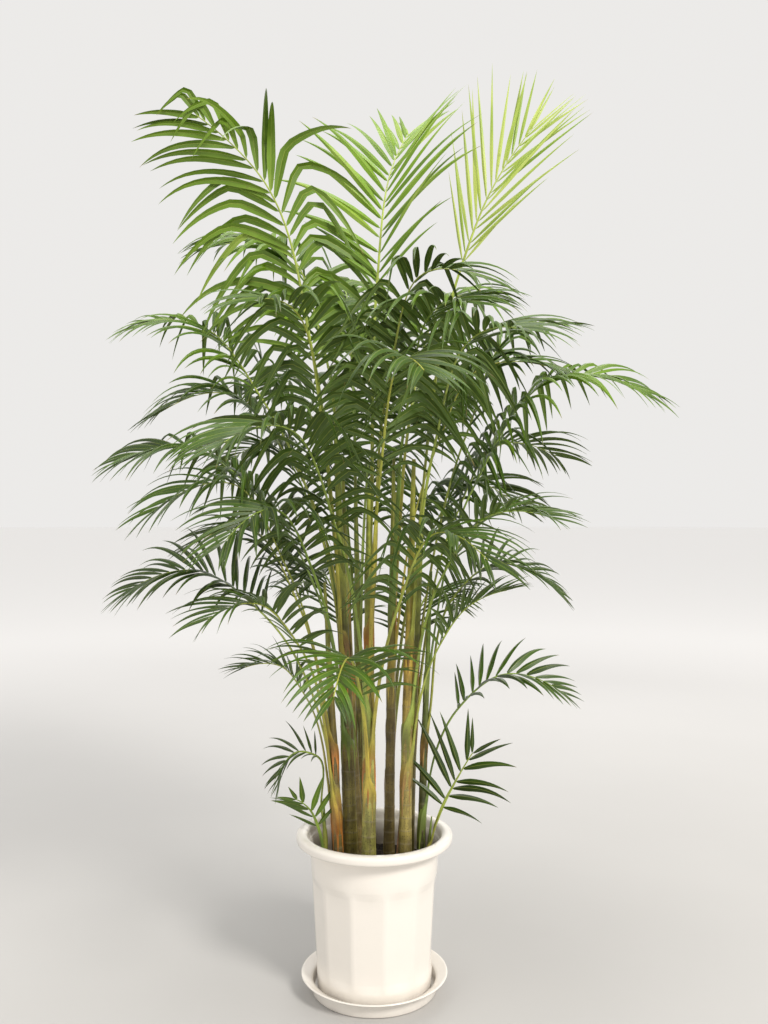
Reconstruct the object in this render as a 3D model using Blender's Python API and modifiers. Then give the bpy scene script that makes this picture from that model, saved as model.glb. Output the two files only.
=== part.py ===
"""Potted palm: a clump of areca-type canes and their arching fronds, growing in soil in a round
plastic pot with flat side panels, which stands on a saucer.

Metres and degrees, +Z up. The origin is the middle of the saucer's underside. Headings are
measured about +Z from +X, so 270 points to the front, along -Y.
"""

import math
from itertools import product

import bmesh
import bpy
from mathutils import Quaternion, Vector
from mathutils.bvhtree import BVHTree

# Overall sizes: the pot's rim, how high it stands, and the plant's growth beside the nominal one
RIM_RADIUS = 0.155
RIM_TOP = 0.311
PLANT_GROWTH = 1.0

# Pot
RIM_OVERHANG = 0.027
RIM_INNER_STEP = 0.004
RIM_BAND = 0.018
FOOT_TAPER = 0.875
POT_WALL = 0.0032
POT_FLOOR = 0.004
DRAIN_RADIUS = 0.012
PANELS = 12
PANEL_TURN = 279.7
PANEL_BELOW_RIM = 0.096
PANEL_ABOVE_SAUCER = 0.020
PANEL_FADE = 0.018
STEPS_PER_PANEL = 3
BODY_TOP_RADIUS = RIM_RADIUS - RIM_OVERHANG
BODY_FOOT_RADIUS = BODY_TOP_RADIUS * FOOT_TAPER
RIM_INNER_RADIUS = BODY_TOP_RADIUS + RIM_INNER_STEP

# The rim's section: how far below the rim's top and how far in from its edge each point lies
RIM_OUTSIDE = (
    (RIM_BAND, 0.004),
    (RIM_BAND - 0.002, 0.0005),
    (0.007, 0.0),
    (0.002, 0.004),
    (0.0, 0.010),
)
# The same at the rim's inner edge, measured out from its inner radius
RIM_INSIDE = ((0.001, 0.005), (0.006, 0.0))
RIM_NECK = 0.004
RIM_INNER_NECK = 0.006

# Saucer
TROUGH = 0.012
SAUCER_FLARE = 0.021
FLARE_SLOPE = 0.55
SAUCER_HEIGHT = 0.036
SAUCER_WALL = 0.0028
SAUCER_FLOOR = 0.004
SAUCER_WALL_RADIUS = BODY_FOOT_RADIUS + TROUGH
SAUCER_LIP_RADIUS = SAUCER_WALL_RADIUS + SAUCER_FLARE

# Soil
SOIL_BELOW_RIM = 0.066
SOIL_EDGE = 0.006
ROOTED = 0.05

# Canes thicken with the pot: their radii are given for a rim of the design radius. A cane's
# radius beside its nominal one is given at the soil, then at shares of its height.
CANE_GIRTH = 1.0
DESIGN_RIM = 0.155
FLARE = 1.12
CANE_TAPER = ((0.0, FLARE), (0.12, 1.0), (0.40, 0.86), (0.70, 0.62), (1.0, 0.30))
CANE_SIDES = 12
CANE_LEVELS = (0.0, 0.12, 0.26, 0.40, 0.55, 0.70, 0.85, 1.0)

# Fronds. A leaflet leans away from the stalk's line by its first value at the first pair, less
# the second at the last, with the power between. It rises from the frond's plane the same way.
STALK_WIDTH = 0.0085
STALK_TIP_WIDTH = 0.003
STALK_THICKNESS = 0.0045
STALK_STEPS = 5
LEAVING_RISE = 0.05
LEAVING_REACH = 0.005
LEAFLET_THICKNESS = 0.0012
LEAFLET_WIDTH = 0.024
LEAFLET_SPACING = 0.066
LEAST_PAIRS = 4
LEAFLET_AWAY = (66, 40, 1.3)
LEAFLET_RISE = (24, 12)
FIRST_LENGTH = 0.66
FULL_FROM = 0.25
LAST_SHORTER = 0.5
LEAFLET_DROOP = 5.4
BEND_STEPS = 6
LEVEL_LEAST = 0.25
CURVE_STEPS = 16

# Clearances between pieces that touch or stand close
FIT_GAP = 0.0003
LEAF_GAP = 0.0006
STALK_ROOM = 0.004

# What is tried, nearest first, to settle a stalk or a leaflet clear of the others, in degrees
# and in shares of its length
TURN_STEP = 4
TURN_TRIES = 80
LEAFLET_LENGTHS = (1.0, 0.85, 0.7, 0.55, 0.4, 0.25)
LEAFLET_LIFTS = (0, 12, -12, 24, -24, 36, -36)
LEAFLET_TURNS = (0, 7, -7, 14, -14, 21, -21)

# The same for a leaflet that a neighbour hems in at its foot
HEMMED_LENGTHS = (0.25, 0.15, 0.08)
HEMMED_LIFTS = (50, -50, 70, -70, 90, -90, 120, -120)
HEMMED_TURNS = (0, 25, -25, 50, -50)

# Canes: heading and share of the free soil radius where each is rooted, height above the soil,
# radius, heading and length of its lean, and the power that bends it.
CANES = {
    "cane_1": (180, 0.47, 0.86, 0.0140, 185, 0.03, 1.2),
    "cane_2": (195, 0.68, 0.56, 0.0090, 200, 0.03, 1.2),
    "cane_3": (130, 0.35, 0.76, 0.0100, 175, 0.04, 0.6),
    "cane_4": (260, 0.57, 0.74, 0.0130, 270, 0.02, 1.0),
    "cane_5": (33, 0.33, 0.82, 0.0100, 60, 0.02, 1.0),
    "cane_6": (325, 0.71, 0.80, 0.0120, 330, 0.02, 1.2),
    "cane_7": (28, 0.75, 0.70, 0.0090, 20, 0.03, 1.2),
    "cane_8": (0, 0.87, 0.58, 0.0080, 0, 0.02, 1.3),
    "cane_9": (153, 0.82, 0.45, 0.0050, 160, 0.02, 1.0),
    "cane_10": (110, 0.78, 0.78, 0.0100, 110, 0.04, 1.2),
    "cane_11": (70, 0.80, 0.74, 0.0100, 60, 0.03, 1.2),
    "shoot_right": (349, 0.94, 0.10, 0.0040, 350, 0.01, 1.0),
    "shoot_left": (184, 0.86, 0.13, 0.0040, 170, 0.005, 1.0),
    "dry_stalk": (337, 0.42, 0.36, 0.0025, 20, 0.03, 1.0),
}

# Fronds: the cane, the height above the soil where the stalk leaves it, and the heading; then
# reach and height above the soil where the leaflets start, at the bend and at the stalk's tip;
# then the longest leaflet, the roll of the blade, how far its leaflets droop, and how wide
# they spread.
FRONDS = {
    "frond_1": ("cane_1", 0.62, 212, (0.05, 1.00), (0.17, 1.34), (0.29, 1.42), 0.31, 58, 0.8, 0.85),
    "frond_2": ("cane_4", 0.66, 66, (0.03, 1.14), (0.09, 1.37), (0.19, 1.49), 0.28, 0, 0.4, 0.85),
    "frond_3": ("cane_6", 0.62, 5, (0.09, 1.18), (0.15, 1.33), (0.23, 1.45), 0.27, 75, 0.1, 0.5),
    "frond_4": ("cane_4", 0.52, 318, (0.04, 0.94), (0.12, 1.13), (0.24, 1.11), 0.23, 0, 1.0, 1.0),
    "frond_5": ("cane_7", 0.46, 12, (0.10, 0.87), (0.20, 1.07), (0.29, 1.09), 0.21, 15, 1.0, 1.0),
    "frond_6": ("cane_8", 0.42, 352, (0.08, 0.74), (0.25, 0.96), (0.41, 0.93), 0.23, 22, 1.1, 1.0),
    "frond_7": ("cane_6", 0.34, 322, (0.07, 0.58), (0.17, 0.69), (0.29, 0.69), 0.19, 0, 1.0, 1.0),
    "frond_8": ("cane_8", 0.30, 8, (0.05, 0.53), (0.12, 0.59), (0.26, 0.54), 0.15, 18, 1.2, 1.0),
    "frond_9": ("cane_8", 0.15, 350, (0.06, 0.31), (0.15, 0.38), (0.26, 0.35), 0.14, 20, 1.0, 1.0),
    "frond_10": ("cane_6", 0.26, 345, (0.05, 0.44), (0.11, 0.52), (0.18, 0.55), 0.15, 0, 0.8, 1.0),
    "frond_11": ("cane_1", 0.50, 166, (0.16, 0.93), (0.29, 1.08), (0.42, 1.09), 0.22, -22, 1.1, 1.0),
    "frond_12": ("cane_1", 0.37, 186, (0.15, 0.72), (0.28, 0.82), (0.41, 0.80), 0.22, -18, 1.1, 1.0),
    "frond_13": ("cane_3", 0.46, 174, (0.12, 0.82), (0.24, 0.94), (0.37, 0.91), 0.23, -15, 1.0, 1.0),
    "frond_14": ("cane_2", 0.28, 205, (0.09, 0.60), (0.19, 0.75), (0.34, 0.70), 0.21, -12, 1.1, 1.0),
    "frond_15": ("cane_2", 0.21, 186, (0.13, 0.50), (0.26, 0.585), (0.38, 0.55), 0.19, -20, 1.1, 1.0),
    "frond_16": ("cane_2", 0.16, 225, (0.08, 0.44), (0.18, 0.53), (0.29, 0.51), 0.18, 0, 1.1, 1.0),
    "frond_17": ("cane_4", 0.20, 262, (0.08, 0.36), (0.20, 0.45), (0.34, 0.41), 0.18, 0, 1.2, 1.0),
    "frond_18": ("cane_4", 0.42, 285, (0.07, 0.76), (0.19, 0.95), (0.34, 0.92), 0.25, 0, 1.0, 1.0),
    "frond_19": ("cane_4", 0.36, 232, (0.08, 0.66), (0.20, 0.84), (0.36, 0.81), 0.25, 0, 1.0, 1.0),
    "frond_20": ("cane_4", 0.27, 305, (0.08, 0.52), (0.19, 0.66), (0.33, 0.62), 0.21, 0, 1.0, 1.0),
    "frond_21": ("cane_1", 0.44, 248, (0.08, 0.84), (0.18, 1.05), (0.33, 1.05), 0.26, 0, 1.0, 1.0),
    "frond_22": ("cane_1", 0.28, 240, (0.10, 0.58), (0.21, 0.70), (0.36, 0.65), 0.21, 0, 1.0, 1.0),
    "frond_23": ("cane_5", 0.56, 294, (0.06, 0.90), (0.15, 1.06), (0.30, 1.06), 0.25, 0, 1.0, 1.0),
    "frond_24": ("cane_5", 0.44, 345, (0.08, 0.82), (0.17, 0.98), (0.30, 0.98), 0.24, 10, 1.0, 1.0),
    "frond_25": ("cane_6", 0.48, 303, (0.07, 0.82), (0.17, 1.00), (0.32, 1.00), 0.25, 0, 1.0, 1.0),
    "frond_26": ("cane_3", 0.60, 146, (0.05, 1.04), (0.15, 1.25), (0.32, 1.29), 0.28, -15, 1.0, 1.0),
    "frond_27": ("cane_3", 0.34, 138, (0.10, 0.70), (0.22, 0.84), (0.38, 0.81), 0.23, 0, 1.0, 1.0),
    "frond_28": ("cane_10", 0.58, 100, (0.06, 1.00), (0.17, 1.20), (0.33, 1.21), 0.26, 0, 1.0, 1.0),
    "frond_29": ("cane_10", 0.46, 125, (0.08, 0.82), (0.20, 1.00), (0.36, 0.98), 0.25, 0, 1.0, 1.0),
    "frond_30": ("cane_10", 0.34, 85, (0.08, 0.66), (0.20, 0.82), (0.36, 0.78), 0.23, 0, 1.0, 1.0),
    "frond_31": ("cane_11", 0.56, 50, (0.07, 0.98), (0.17, 1.17), (0.32, 1.19), 0.25, 0, 1.0, 1.0),
    "frond_32": ("cane_11", 0.44, 72, (0.08, 0.82), (0.19, 0.98), (0.36, 0.95), 0.24, 0, 1.0, 1.0),
    "frond_33": ("cane_11", 0.32, 38, (0.08, 0.62), (0.20, 0.76), (0.36, 0.71), 0.21, 0, 1.0, 1.0),
    "frond_34": ("cane_7", 0.34, 24, (0.08, 0.68), (0.19, 0.84), (0.33, 0.82), 0.22, -12, 1.0, 1.0),
    "frond_35": ("cane_9", 0.26, 160, (0.07, 0.52), (0.17, 0.66), (0.31, 0.63), 0.18, -10, 1.0, 1.0),
    "frond_36": ("cane_9", 0.14, 196, (0.05, 0.33), (0.10, 0.39), (0.17, 0.39), 0.14, 0, 1.0, 1.0),
    "frond_37": ("cane_10", 0.22, 118, (0.07, 0.45), (0.17, 0.56), (0.31, 0.52), 0.18, 0, 1.0, 1.0),
    "frond_38": ("cane_11", 0.20, 60, (0.07, 0.42), (0.17, 0.52), (0.30, 0.48), 0.17, 0, 1.0, 1.0),
    "frond_39": ("shoot_left", 0.11, 188, (0.01, 0.215), (0.045, 0.225), (0.085, 0.165), 0.10, -20, 1.3, 1.0),
    "frond_40": ("shoot_right", 0.06, 345, (0.02, 0.12), (0.045, 0.17), (0.08, 0.23), 0.17, 75, 0.6, 1.0),
    "frond_41": ("shoot_left", 0.03, 215, (0.012, 0.08), (0.03, 0.115), (0.06, 0.14), 0.10, 50, 0.5, 1.0),
}

COLLECTION = "potted_palm"

# How far each cane's foot was turned about the pot's middle, in degrees, to stand clear
cane_turns = {}

SOIL_TOP = RIM_TOP - SOIL_BELOW_RIM
POT_BASE = SAUCER_FLOOR + FIT_GAP
PANEL_LOW = SAUCER_HEIGHT + PANEL_ABOVE_SAUCER
PANEL_HIGH = RIM_TOP - PANEL_BELOW_RIM
SEGMENTS = PANELS * STEPS_PER_PANEL


def clear_scene():
    for item in list(bpy.data.objects):
        bpy.data.objects.remove(item, do_unlink=True)


def new_collection(name):
    group = bpy.data.collections.new(name)
    bpy.context.scene.collection.children.link(group)
    return group


def principled(name, colour, roughness, metallic=0.0):
    material = bpy.data.materials.new(name)
    material.use_nodes = True
    shader = material.node_tree.nodes["Principled BSDF"]
    shader.inputs["Base Color"].default_value = (*colour, 1.0)
    shader.inputs["Roughness"].default_value = roughness
    shader.inputs["Metallic"].default_value = metallic
    material.diffuse_color = (*colour, 1.0)
    return material


def add_object(name, mesh, group, material=None):
    item = bpy.data.objects.new(name, mesh)
    group.objects.link(item)
    if material:
        mesh.materials.append(material)
    return item


def direction(heading):
    angle = math.radians(heading)
    return Vector((math.cos(angle), math.sin(angle), 0.0))


# ---------------------------------------------------------------- saucer, pot and soil


def turned(name, profile, group, material):
    """A solid turned about the vertical axis from a profile of (radius, height) points."""
    mesh = bpy.data.meshes.new(name)
    points = [(radius, 0.0, height) for radius, height in profile]
    mesh.from_pydata(points, [(i, i + 1) for i in range(len(points) - 1)], [])
    item = add_object(name, mesh, group, material)
    screw = item.modifiers.new("Turn", "SCREW")
    screw.steps = SEGMENTS
    screw.render_steps = SEGMENTS
    screw.use_merge_vertices = True
    screw.merge_threshold = 0.00005
    screw.use_smooth_shade = True
    return item


def make_saucer(group):
    """A dish with a flared lip. Its corners are rounded by shares of the wall's thickness."""
    lip = SAUCER_LIP_RADIUS
    wall = SAUCER_WALL_RADIUS
    flare = SAUCER_HEIGHT - SAUCER_FLARE * FLARE_SLOPE
    profile = [
        (0.0, SAUCER_FLOOR),
        (wall - 2 * SAUCER_WALL, SAUCER_FLOOR),
        (wall - SAUCER_WALL, SAUCER_FLOOR + SAUCER_WALL),
        (wall - SAUCER_WALL, flare),
        (lip - 2 * SAUCER_WALL, SAUCER_HEIGHT - 0.4 * SAUCER_WALL),
        (lip - 0.6 * SAUCER_WALL, SAUCER_HEIGHT),
        (lip, SAUCER_HEIGHT - 0.5 * SAUCER_WALL),
        (lip - 0.8 * SAUCER_WALL, SAUCER_HEIGHT - 1.5 * SAUCER_WALL),
        (wall, flare - SAUCER_WALL),
        (wall, 0.5 * SAUCER_WALL),
        (wall - 0.5 * SAUCER_WALL, 0.0),
        (0.0, 0.0),
    ]
    turned("saucer", profile, group, principled("saucer_plastic", (0.86, 0.85, 0.82), 0.3))


def body_radius(height):
    """The pot's outer radius at a height, on the straight taper from its foot to its rim."""
    share = (height - POT_BASE) / (RIM_TOP - RIM_BAND - POT_BASE)
    return BODY_FOOT_RADIUS + (BODY_TOP_RADIUS - BODY_FOOT_RADIUS) * share


def flatness(height):
    """1 where the side panels are flat, 0 on the round bands above and below them."""
    rise = (height - PANEL_LOW) / PANEL_FADE + 1.0
    fall = (PANEL_HIGH - height) / PANEL_FADE + 1.0
    return max(0.0, min(1.0, rise, fall))


def ring(height, radius, flat):
    """One level of the pot: a circle, drawn in to a twelve-sided outline where flat is 1."""
    points = []
    half = math.pi / PANELS
    for i in range(SEGMENTS):
        turn = 2 * math.pi * i / SEGMENTS
        from_middle = turn % (2 * half) - half
        straight = radius * math.cos(half) / math.cos(from_middle)
        out = radius + (straight - radius) * flat
        angle = turn + math.radians(PANEL_TURN)
        points.append(Vector((out * math.cos(angle), out * math.sin(angle), height)))
    return points


def loft(name, rings, group, material, close_ends, loop=False):
    """A skin over rings of points, each joined to the next, closed at its ends or into a loop."""
    form = bmesh.new()
    rows = [[form.verts.new(point) for point in points] for points in rings]
    pairs = list(zip(rows, rows[1:]))
    if loop:
        pairs.append((rows[-1], rows[0]))
    for lower, upper in pairs:
        for i in range(len(lower)):
            j = (i + 1) % len(lower)
            form.faces.new((lower[i], lower[j], upper[j], upper[i]))
    if close_ends:
        form.faces.new(list(reversed(rows[0])))
        form.faces.new(rows[-1])
    bmesh.ops.recalc_face_normals(form, faces=form.faces)
    mesh = bpy.data.meshes.new(name)
    form.to_mesh(mesh)
    form.free()
    item = add_object(name, mesh, group, material)
    mesh.shade_smooth()
    mesh.set_sharp_from_angle(angle=math.radians(35))
    return item


def panel_levels():
    return [PANEL_LOW - PANEL_FADE, PANEL_LOW, PANEL_HIGH, PANEL_HIGH + PANEL_FADE]


def pot_rings():
    """The pot's levels, up the outside, over the rim and down the inside."""
    band_low = RIM_TOP - RIM_BAND
    outside = [POT_BASE] + panel_levels() + [band_low - RIM_NECK]
    rings = [ring(POT_BASE, DRAIN_RADIUS, 0.0)]
    rings += [ring(z, body_radius(z), flatness(z)) for z in outside]
    rings += [ring(RIM_TOP - below, RIM_RADIUS - inward, 0.0) for below, inward in RIM_OUTSIDE]
    rings += [ring(RIM_TOP - below, RIM_INNER_RADIUS + out, 0.0) for below, out in RIM_INSIDE]
    inside = [band_low - RIM_INNER_NECK] + panel_levels()[::-1] + [POT_BASE + POT_FLOOR]
    rings += [ring(z, body_radius(z) - POT_WALL, flatness(z)) for z in inside]
    rings.append(ring(POT_BASE + POT_FLOOR, DRAIN_RADIUS, 0.0))
    return rings


def make_pot(group):
    plastic = principled("pot_plastic", (0.88, 0.87, 0.84), 0.25)
    loft("pot", pot_rings(), group, plastic, close_ends=False, loop=True)


def soil_radius(height):
    return body_radius(height) - POT_WALL - FIT_GAP / math.cos(math.pi / PANELS)


def make_soil(group, cutters):
    """The soil, round or faceted as the pot is, with a socket cut for each cane."""
    shoulder = SOIL_TOP - SOIL_EDGE / 2
    round_from = PANEL_HIGH + PANEL_FADE
    flat = 0.0 if shoulder > round_from else 1.0
    levels = [POT_BASE + POT_FLOOR + FIT_GAP, min(round_from, shoulder - SOIL_EDGE)]
    rings = [ring(z, soil_radius(z), 1.0) for z in levels]
    rings.append(ring(shoulder, soil_radius(shoulder), flat))
    rings.append(ring(SOIL_TOP, soil_radius(SOIL_TOP) - SOIL_EDGE, flat))
    soil = loft("soil", rings, group, principled("soil", (0.06, 0.04, 0.025), 0.95), close_ends=True)
    for name in CANES:
        cut = soil.modifiers.new(name, "BOOLEAN")
        cut.operation = "DIFFERENCE"
        cut.solver = "EXACT"
        cut.object = socket_cutter(name, cutters)


# ---------------------------------------------------------------- canes


def girth(name):
    return CANES[name][3] * CANE_GIRTH * RIM_RADIUS / DESIGN_RIM


def cane_point(name, height):
    """The middle of a cane at a height above the soil."""
    heading, share, top, _, lean_heading, lean, bend = CANES[name]
    free = soil_radius(SOIL_TOP) - SOIL_EDGE - girth(name) * FLARE
    foot = direction(heading + cane_turns.get(name, 0)) * share * free
    part = max(0.0, height / (top * PLANT_GROWTH))
    return foot + direction(lean_heading) * lean * part**bend + Vector((0, 0, SOIL_TOP + height))


def cane_radius(name, height):
    """The cane's radius at a height above the soil: widest at its foot, slender at its top."""
    part = min(1.0, max(0.0, height / (CANES[name][2] * PLANT_GROWTH)))
    for (low, wide), (high, narrow) in zip(CANE_TAPER, CANE_TAPER[1:]):
        if part <= high:
            return girth(name) * (wide + (narrow - wide) * (part - low) / (high - low))
    return girth(name) * CANE_TAPER[-1][1]


def cane_heights(name):
    top = CANES[name][2] * PLANT_GROWTH
    return [-ROOTED] + [top * part for part in CANE_LEVELS]


def make_cane(name, group, material):
    heights = cane_heights(name)
    curve = bpy.data.curves.new(name, "CURVE")
    curve.dimensions = "3D"
    curve.bevel_depth = 1.0
    curve.bevel_resolution = CANE_SIDES // 4 - 1
    curve.use_fill_caps = True
    line = curve.splines.new("POLY")
    line.points.add(len(heights) - 1)
    for point, height in zip(line.points, heights):
        point.co = (*cane_point(name, height), 1.0)
        point.radius = cane_radius(name, height)
    curve.materials.append(material)
    group.objects.link(bpy.data.objects.new(name, curve))


def socket_cutter(name, cutters):
    """The hole that a cane's rooted end stands in, wider than the cane by the fit gap."""
    foot = cane_point(name, -ROOTED)
    over = SOIL_EDGE
    radius = (cane_radius(name, 0.0) + FIT_GAP) / math.cos(math.pi / CANE_SIDES)
    form = bmesh.new()
    length = ROOTED + FIT_GAP + over
    bmesh.ops.create_cone(
        form, cap_ends=True, segments=CANE_SIDES, radius1=radius, radius2=radius, depth=length
    )
    middle = foot + Vector((0, 0, length / 2 - FIT_GAP))
    bmesh.ops.translate(form, verts=form.verts, vec=middle)
    mesh = bpy.data.meshes.new(name + "_socket")
    form.to_mesh(mesh)
    form.free()
    item = add_object(name + "_socket", mesh, cutters)
    item.hide_render = True
    item.display_type = "WIRE"
    return item


# ---------------------------------------------------------------- fronds


def through(points, start):
    """A smooth curve through points, leaving the first along start: a function of arc share."""
    chords = [(b - a).length for a, b in zip(points, points[1:])]
    slopes = [start.normalized()]
    for i in range(1, len(points) - 1):
        before = (points[i] - points[i - 1]) / chords[i - 1]
        after = (points[i + 1] - points[i]) / chords[i]
        blend = chords[i - 1] / (chords[i - 1] + chords[i])
        slopes.append(before * (1 - blend) + after * blend)
    last = (points[-1] - points[-2]) / chords[-1]
    slopes.append(2 * last - slopes[-1])
    line = []
    for i, chord in enumerate(chords):
        for step in range(CURVE_STEPS):
            t = step / CURVE_STEPS
            near = (1 + 2 * t) * (1 - t) ** 2 * points[i] + t * (1 - t) ** 2 * chord * slopes[i]
            far = t**2 * (3 - 2 * t) * points[i + 1] - t**2 * (1 - t) * chord * slopes[i + 1]
            line.append(near + far)
    line.append(points[-1])
    return line


def resampled(line, shares):
    """The points at given shares of a polyline's length, and the directions there."""
    lengths = [0.0]
    for a, b in zip(line, line[1:]):
        lengths.append(lengths[-1] + (b - a).length)
    points = []
    i = 0
    for share in shares:
        along = share * lengths[-1]
        while i < len(line) - 2 and lengths[i + 1] < along:
            i += 1
        part = (along - lengths[i]) / (lengths[i + 1] - lengths[i])
        points.append((line[i].lerp(line[i + 1], part), (line[i + 1] - line[i]).normalized()))
    return points


def neck_share(line):
    """The share of a stalk's length at its second given point, where the leaflets start."""
    lengths = [(b - a).length for a, b in zip(line, line[1:])]
    return sum(lengths[:CURVE_STEPS]) / sum(lengths)


def frond_line(name, heading):
    """The middle line of a frond's stalk, from beside its cane to its tip."""
    cane, leaves, _, neck, crest, tip, *_ = FRONDS[name]
    out = direction(heading)
    height = leaves * PLANT_GROWTH
    clear = cane_radius(cane, height) + STALK_THICKNESS / 2 + FIT_GAP
    base = cane_point(cane, height) + out * clear
    points = [base]
    for reach, level in (neck, crest, tip):
        at = base + out * (reach * PLANT_GROWTH)
        points.append(Vector((at.x, at.y, SOIL_TOP + level * PLANT_GROWTH)))
    lean = cane_point(cane, height + LEAVING_RISE) - cane_point(cane, height)
    start = Vector((0, 0, LEAVING_RISE)) + out * (max(0.0, lean.dot(out)) + LEAVING_REACH)
    return through(points, start)


class Stalk:
    """A frond's stalk: cross levels along it, each with a middle, a side and an up direction."""

    def __init__(self, name, heading):
        self.name = name
        self.leaflet, self.roll, self.droop, self.spread = FRONDS[name][6:]
        line = frond_line(name, heading)
        neck = neck_share(line)
        length = sum((b - a).length for a, b in zip(line, line[1:]))
        pairs = round((1 - neck) * length / (LEAFLET_SPACING * PLANT_GROWTH))
        self.pairs = max(LEAST_PAIRS, pairs)
        shares = [neck * i / STALK_STEPS for i in range(STALK_STEPS)]
        half = (1 - neck) / (2 * self.pairs - 1)
        shares += [neck + half * i for i in range(2 * self.pairs)]
        across = Vector((0, 0, 1)).cross(direction(heading))
        self.levels = []
        for share, (middle, along) in zip(shares, resampled(line, shares)):
            side = (across - along * across.dot(along)).normalized()
            turn = math.radians(self.roll) * max(0.0, min(1.0, share / neck))
            side = Quaternion(along, turn) @ side
            width = STALK_WIDTH + (STALK_TIP_WIDTH - STALK_WIDTH) * share
            self.levels.append((middle, along, side, along.cross(side), width))

    def corners(self, level, widen=0.0):
        middle, _, side, _, width = self.levels[level]
        reach = side * (width / 2 + widen)
        return middle - reach, middle + reach

    def slabs(self, widen):
        """The stalk as a boxy tube of faces, wider all round by the given margin."""
        points = []
        for level, (_, _, _, up, _) in enumerate(self.levels):
            lift = up * (STALK_THICKNESS / 2 + widen)
            for corner in self.corners(level, widen):
                points += [corner - lift, corner + lift]
        faces = []
        for i in range(0, len(points) - 4, 4):
            for a, b in ((0, 1), (1, 3), (3, 2), (2, 0)):
                faces.append((i + a, i + b, i + b + 4, i + a + 4))
        return points, faces


def leaflet_line(stalk, pair, side_sign, turn, lift, shorten):
    """A leaflet's middle line and width directions: its base, its bend and its tip."""
    u = pair / (stalk.pairs - 1)
    middle, along, side, up, _ = stalk.levels[STALK_STEPS + 2 * pair]
    widest, closer, power = LEAFLET_AWAY
    away = math.radians((widest - closer * u**power) * stalk.spread + turn)
    raised = math.radians(LEAFLET_RISE[0] - LEAFLET_RISE[1] * u + lift)
    sideways = side * side_sign * math.cos(raised) + up * math.sin(raised)
    heading = along * math.cos(away) + sideways * math.sin(away)
    opening = FIRST_LENGTH + (1 - FIRST_LENGTH) * min(1.0, u / FULL_FROM)
    grown = opening * (1 - LAST_SHORTER * u**2)
    length = stalk.leaflet * PLANT_GROWTH * grown * shorten
    start = STALK_STEPS + 2 * pair
    edge = 1 if side_sign > 0 else 0
    base = (stalk.corners(start)[edge] + stalk.corners(start + 1)[edge]) / 2
    points = [base]
    step = length / BEND_STEPS
    wide = []
    for i in range(BEND_STEPS):
        level = LEVEL_LEAST + (1 - LEVEL_LEAST) * math.hypot(heading.x, heading.y)
        down = Vector((0, 0, -1)) - heading * heading.dot(Vector((0, 0, -1)))
        bend = LEAFLET_DROOP * stalk.droop * step * level * (0.5 + i / BEND_STEPS)
        heading = (heading + down * bend).normalized()
        points.append(points[-1] + heading * step)
        wide.append((along - heading * along.dot(heading)).normalized())
    middle = BEND_STEPS // 2
    return points[0], points[middle], points[-1], wide[middle - 1]


def leaflet_slab(stalk, pair, side_sign, leaf, widen):
    """The leaflet as a closed wedge of faces, wider all round by the given margin."""
    base, bend, tip, wide = leaf
    start = STALK_STEPS + 2 * pair
    edge = 1 if side_sign > 0 else 0
    low, high = stalk.corners(start)[edge], stalk.corners(start + 1)[edge]
    half = wide * (LEAFLET_WIDTH / 2 + widen)
    sheet = [low, high, bend + half, bend - half, tip + (tip - bend).normalized() * widen]
    normal = (bend - base).cross(wide).normalized()
    thick = stalk.levels[start][3] * (STALK_THICKNESS / 2 + widen)
    thin = normal * (LEAFLET_THICKNESS / 2 + widen)
    if thin.dot(thick) < 0:
        thin = -thin
    lifts = [thick, thick, thin, thin, thin]
    points = [p + lift for p, lift in zip(sheet, lifts)] + [p - lift for p, lift in zip(sheet, lifts)]
    faces = [(0, 1, 2, 3), (3, 2, 4), (5, 6, 7, 8), (8, 7, 9)]
    faces += [(1, 2, 7, 6), (2, 4, 9, 7), (4, 3, 8, 9), (3, 0, 5, 8)]
    return points, faces


class Crowd:
    """The pieces placed so far, asked whether a new one would touch any of them."""

    def __init__(self):
        self.trees = []

    def add(self, points, faces):
        low = Vector([min(p[i] for p in points) for i in range(3)])
        high = Vector([max(p[i] for p in points) for i in range(3)])
        self.trees.append((low, high, BVHTree.FromPolygons(points, faces)))

    def touches(self, points, faces, skip=None):
        low = [min(p[i] for p in points) for i in range(3)]
        high = [max(p[i] for p in points) for i in range(3)]
        tree = None
        for index, (least, most, other) in enumerate(self.trees):
            if index == skip or any(high[i] < least[i] or low[i] > most[i] for i in range(3)):
                continue
            tree = tree or BVHTree.FromPolygons(points, faces)
            if tree.overlap(other):
                return True
        return False


def cane_slab(name, widen):
    """A cane as a round tube of faces, wider by the given margin."""
    points = []
    sides = CANE_SIDES
    heights = cane_heights(name)
    for height in heights:
        radius = cane_radius(name, height) + widen
        for i in range(sides):
            points.append(cane_point(name, height) + direction(360 * i / sides) * radius)
    faces = []
    for row in range(len(heights) - 1):
        for i in range(sides):
            a, b = row * sides + i, row * sides + (i + 1) % sides
            faces.append((a, b, b + sides, a + sides))
    faces.append(tuple(range(sides)))
    faces.append(tuple(range(len(points) - sides, len(points))))
    return points, faces


def pot_slab():
    """The pot's whole skin of faces, as it is."""
    rings = pot_rings()
    faces = []
    for row in range(len(rings) - 1):
        for i in range(SEGMENTS):
            a, b = row * SEGMENTS + i, row * SEGMENTS + (i + 1) % SEGMENTS
            faces.append((a, b, b + SEGMENTS, a + SEGMENTS))
    return [point for points in rings for point in points], faces


def settle_canes(crowd):
    """Moves a cane's foot round the pot only as far as it must to clear the canes before it."""
    for name in CANES:
        for step in range(TURN_TRIES):
            cane_turns[name] = (step + 1) // 2 * (TURN_STEP if step % 2 else -TURN_STEP)
            if not crowd.touches(*cane_slab(name, FIT_GAP / 3)):
                break
        crowd.add(*cane_slab(name, 0.0))


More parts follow.
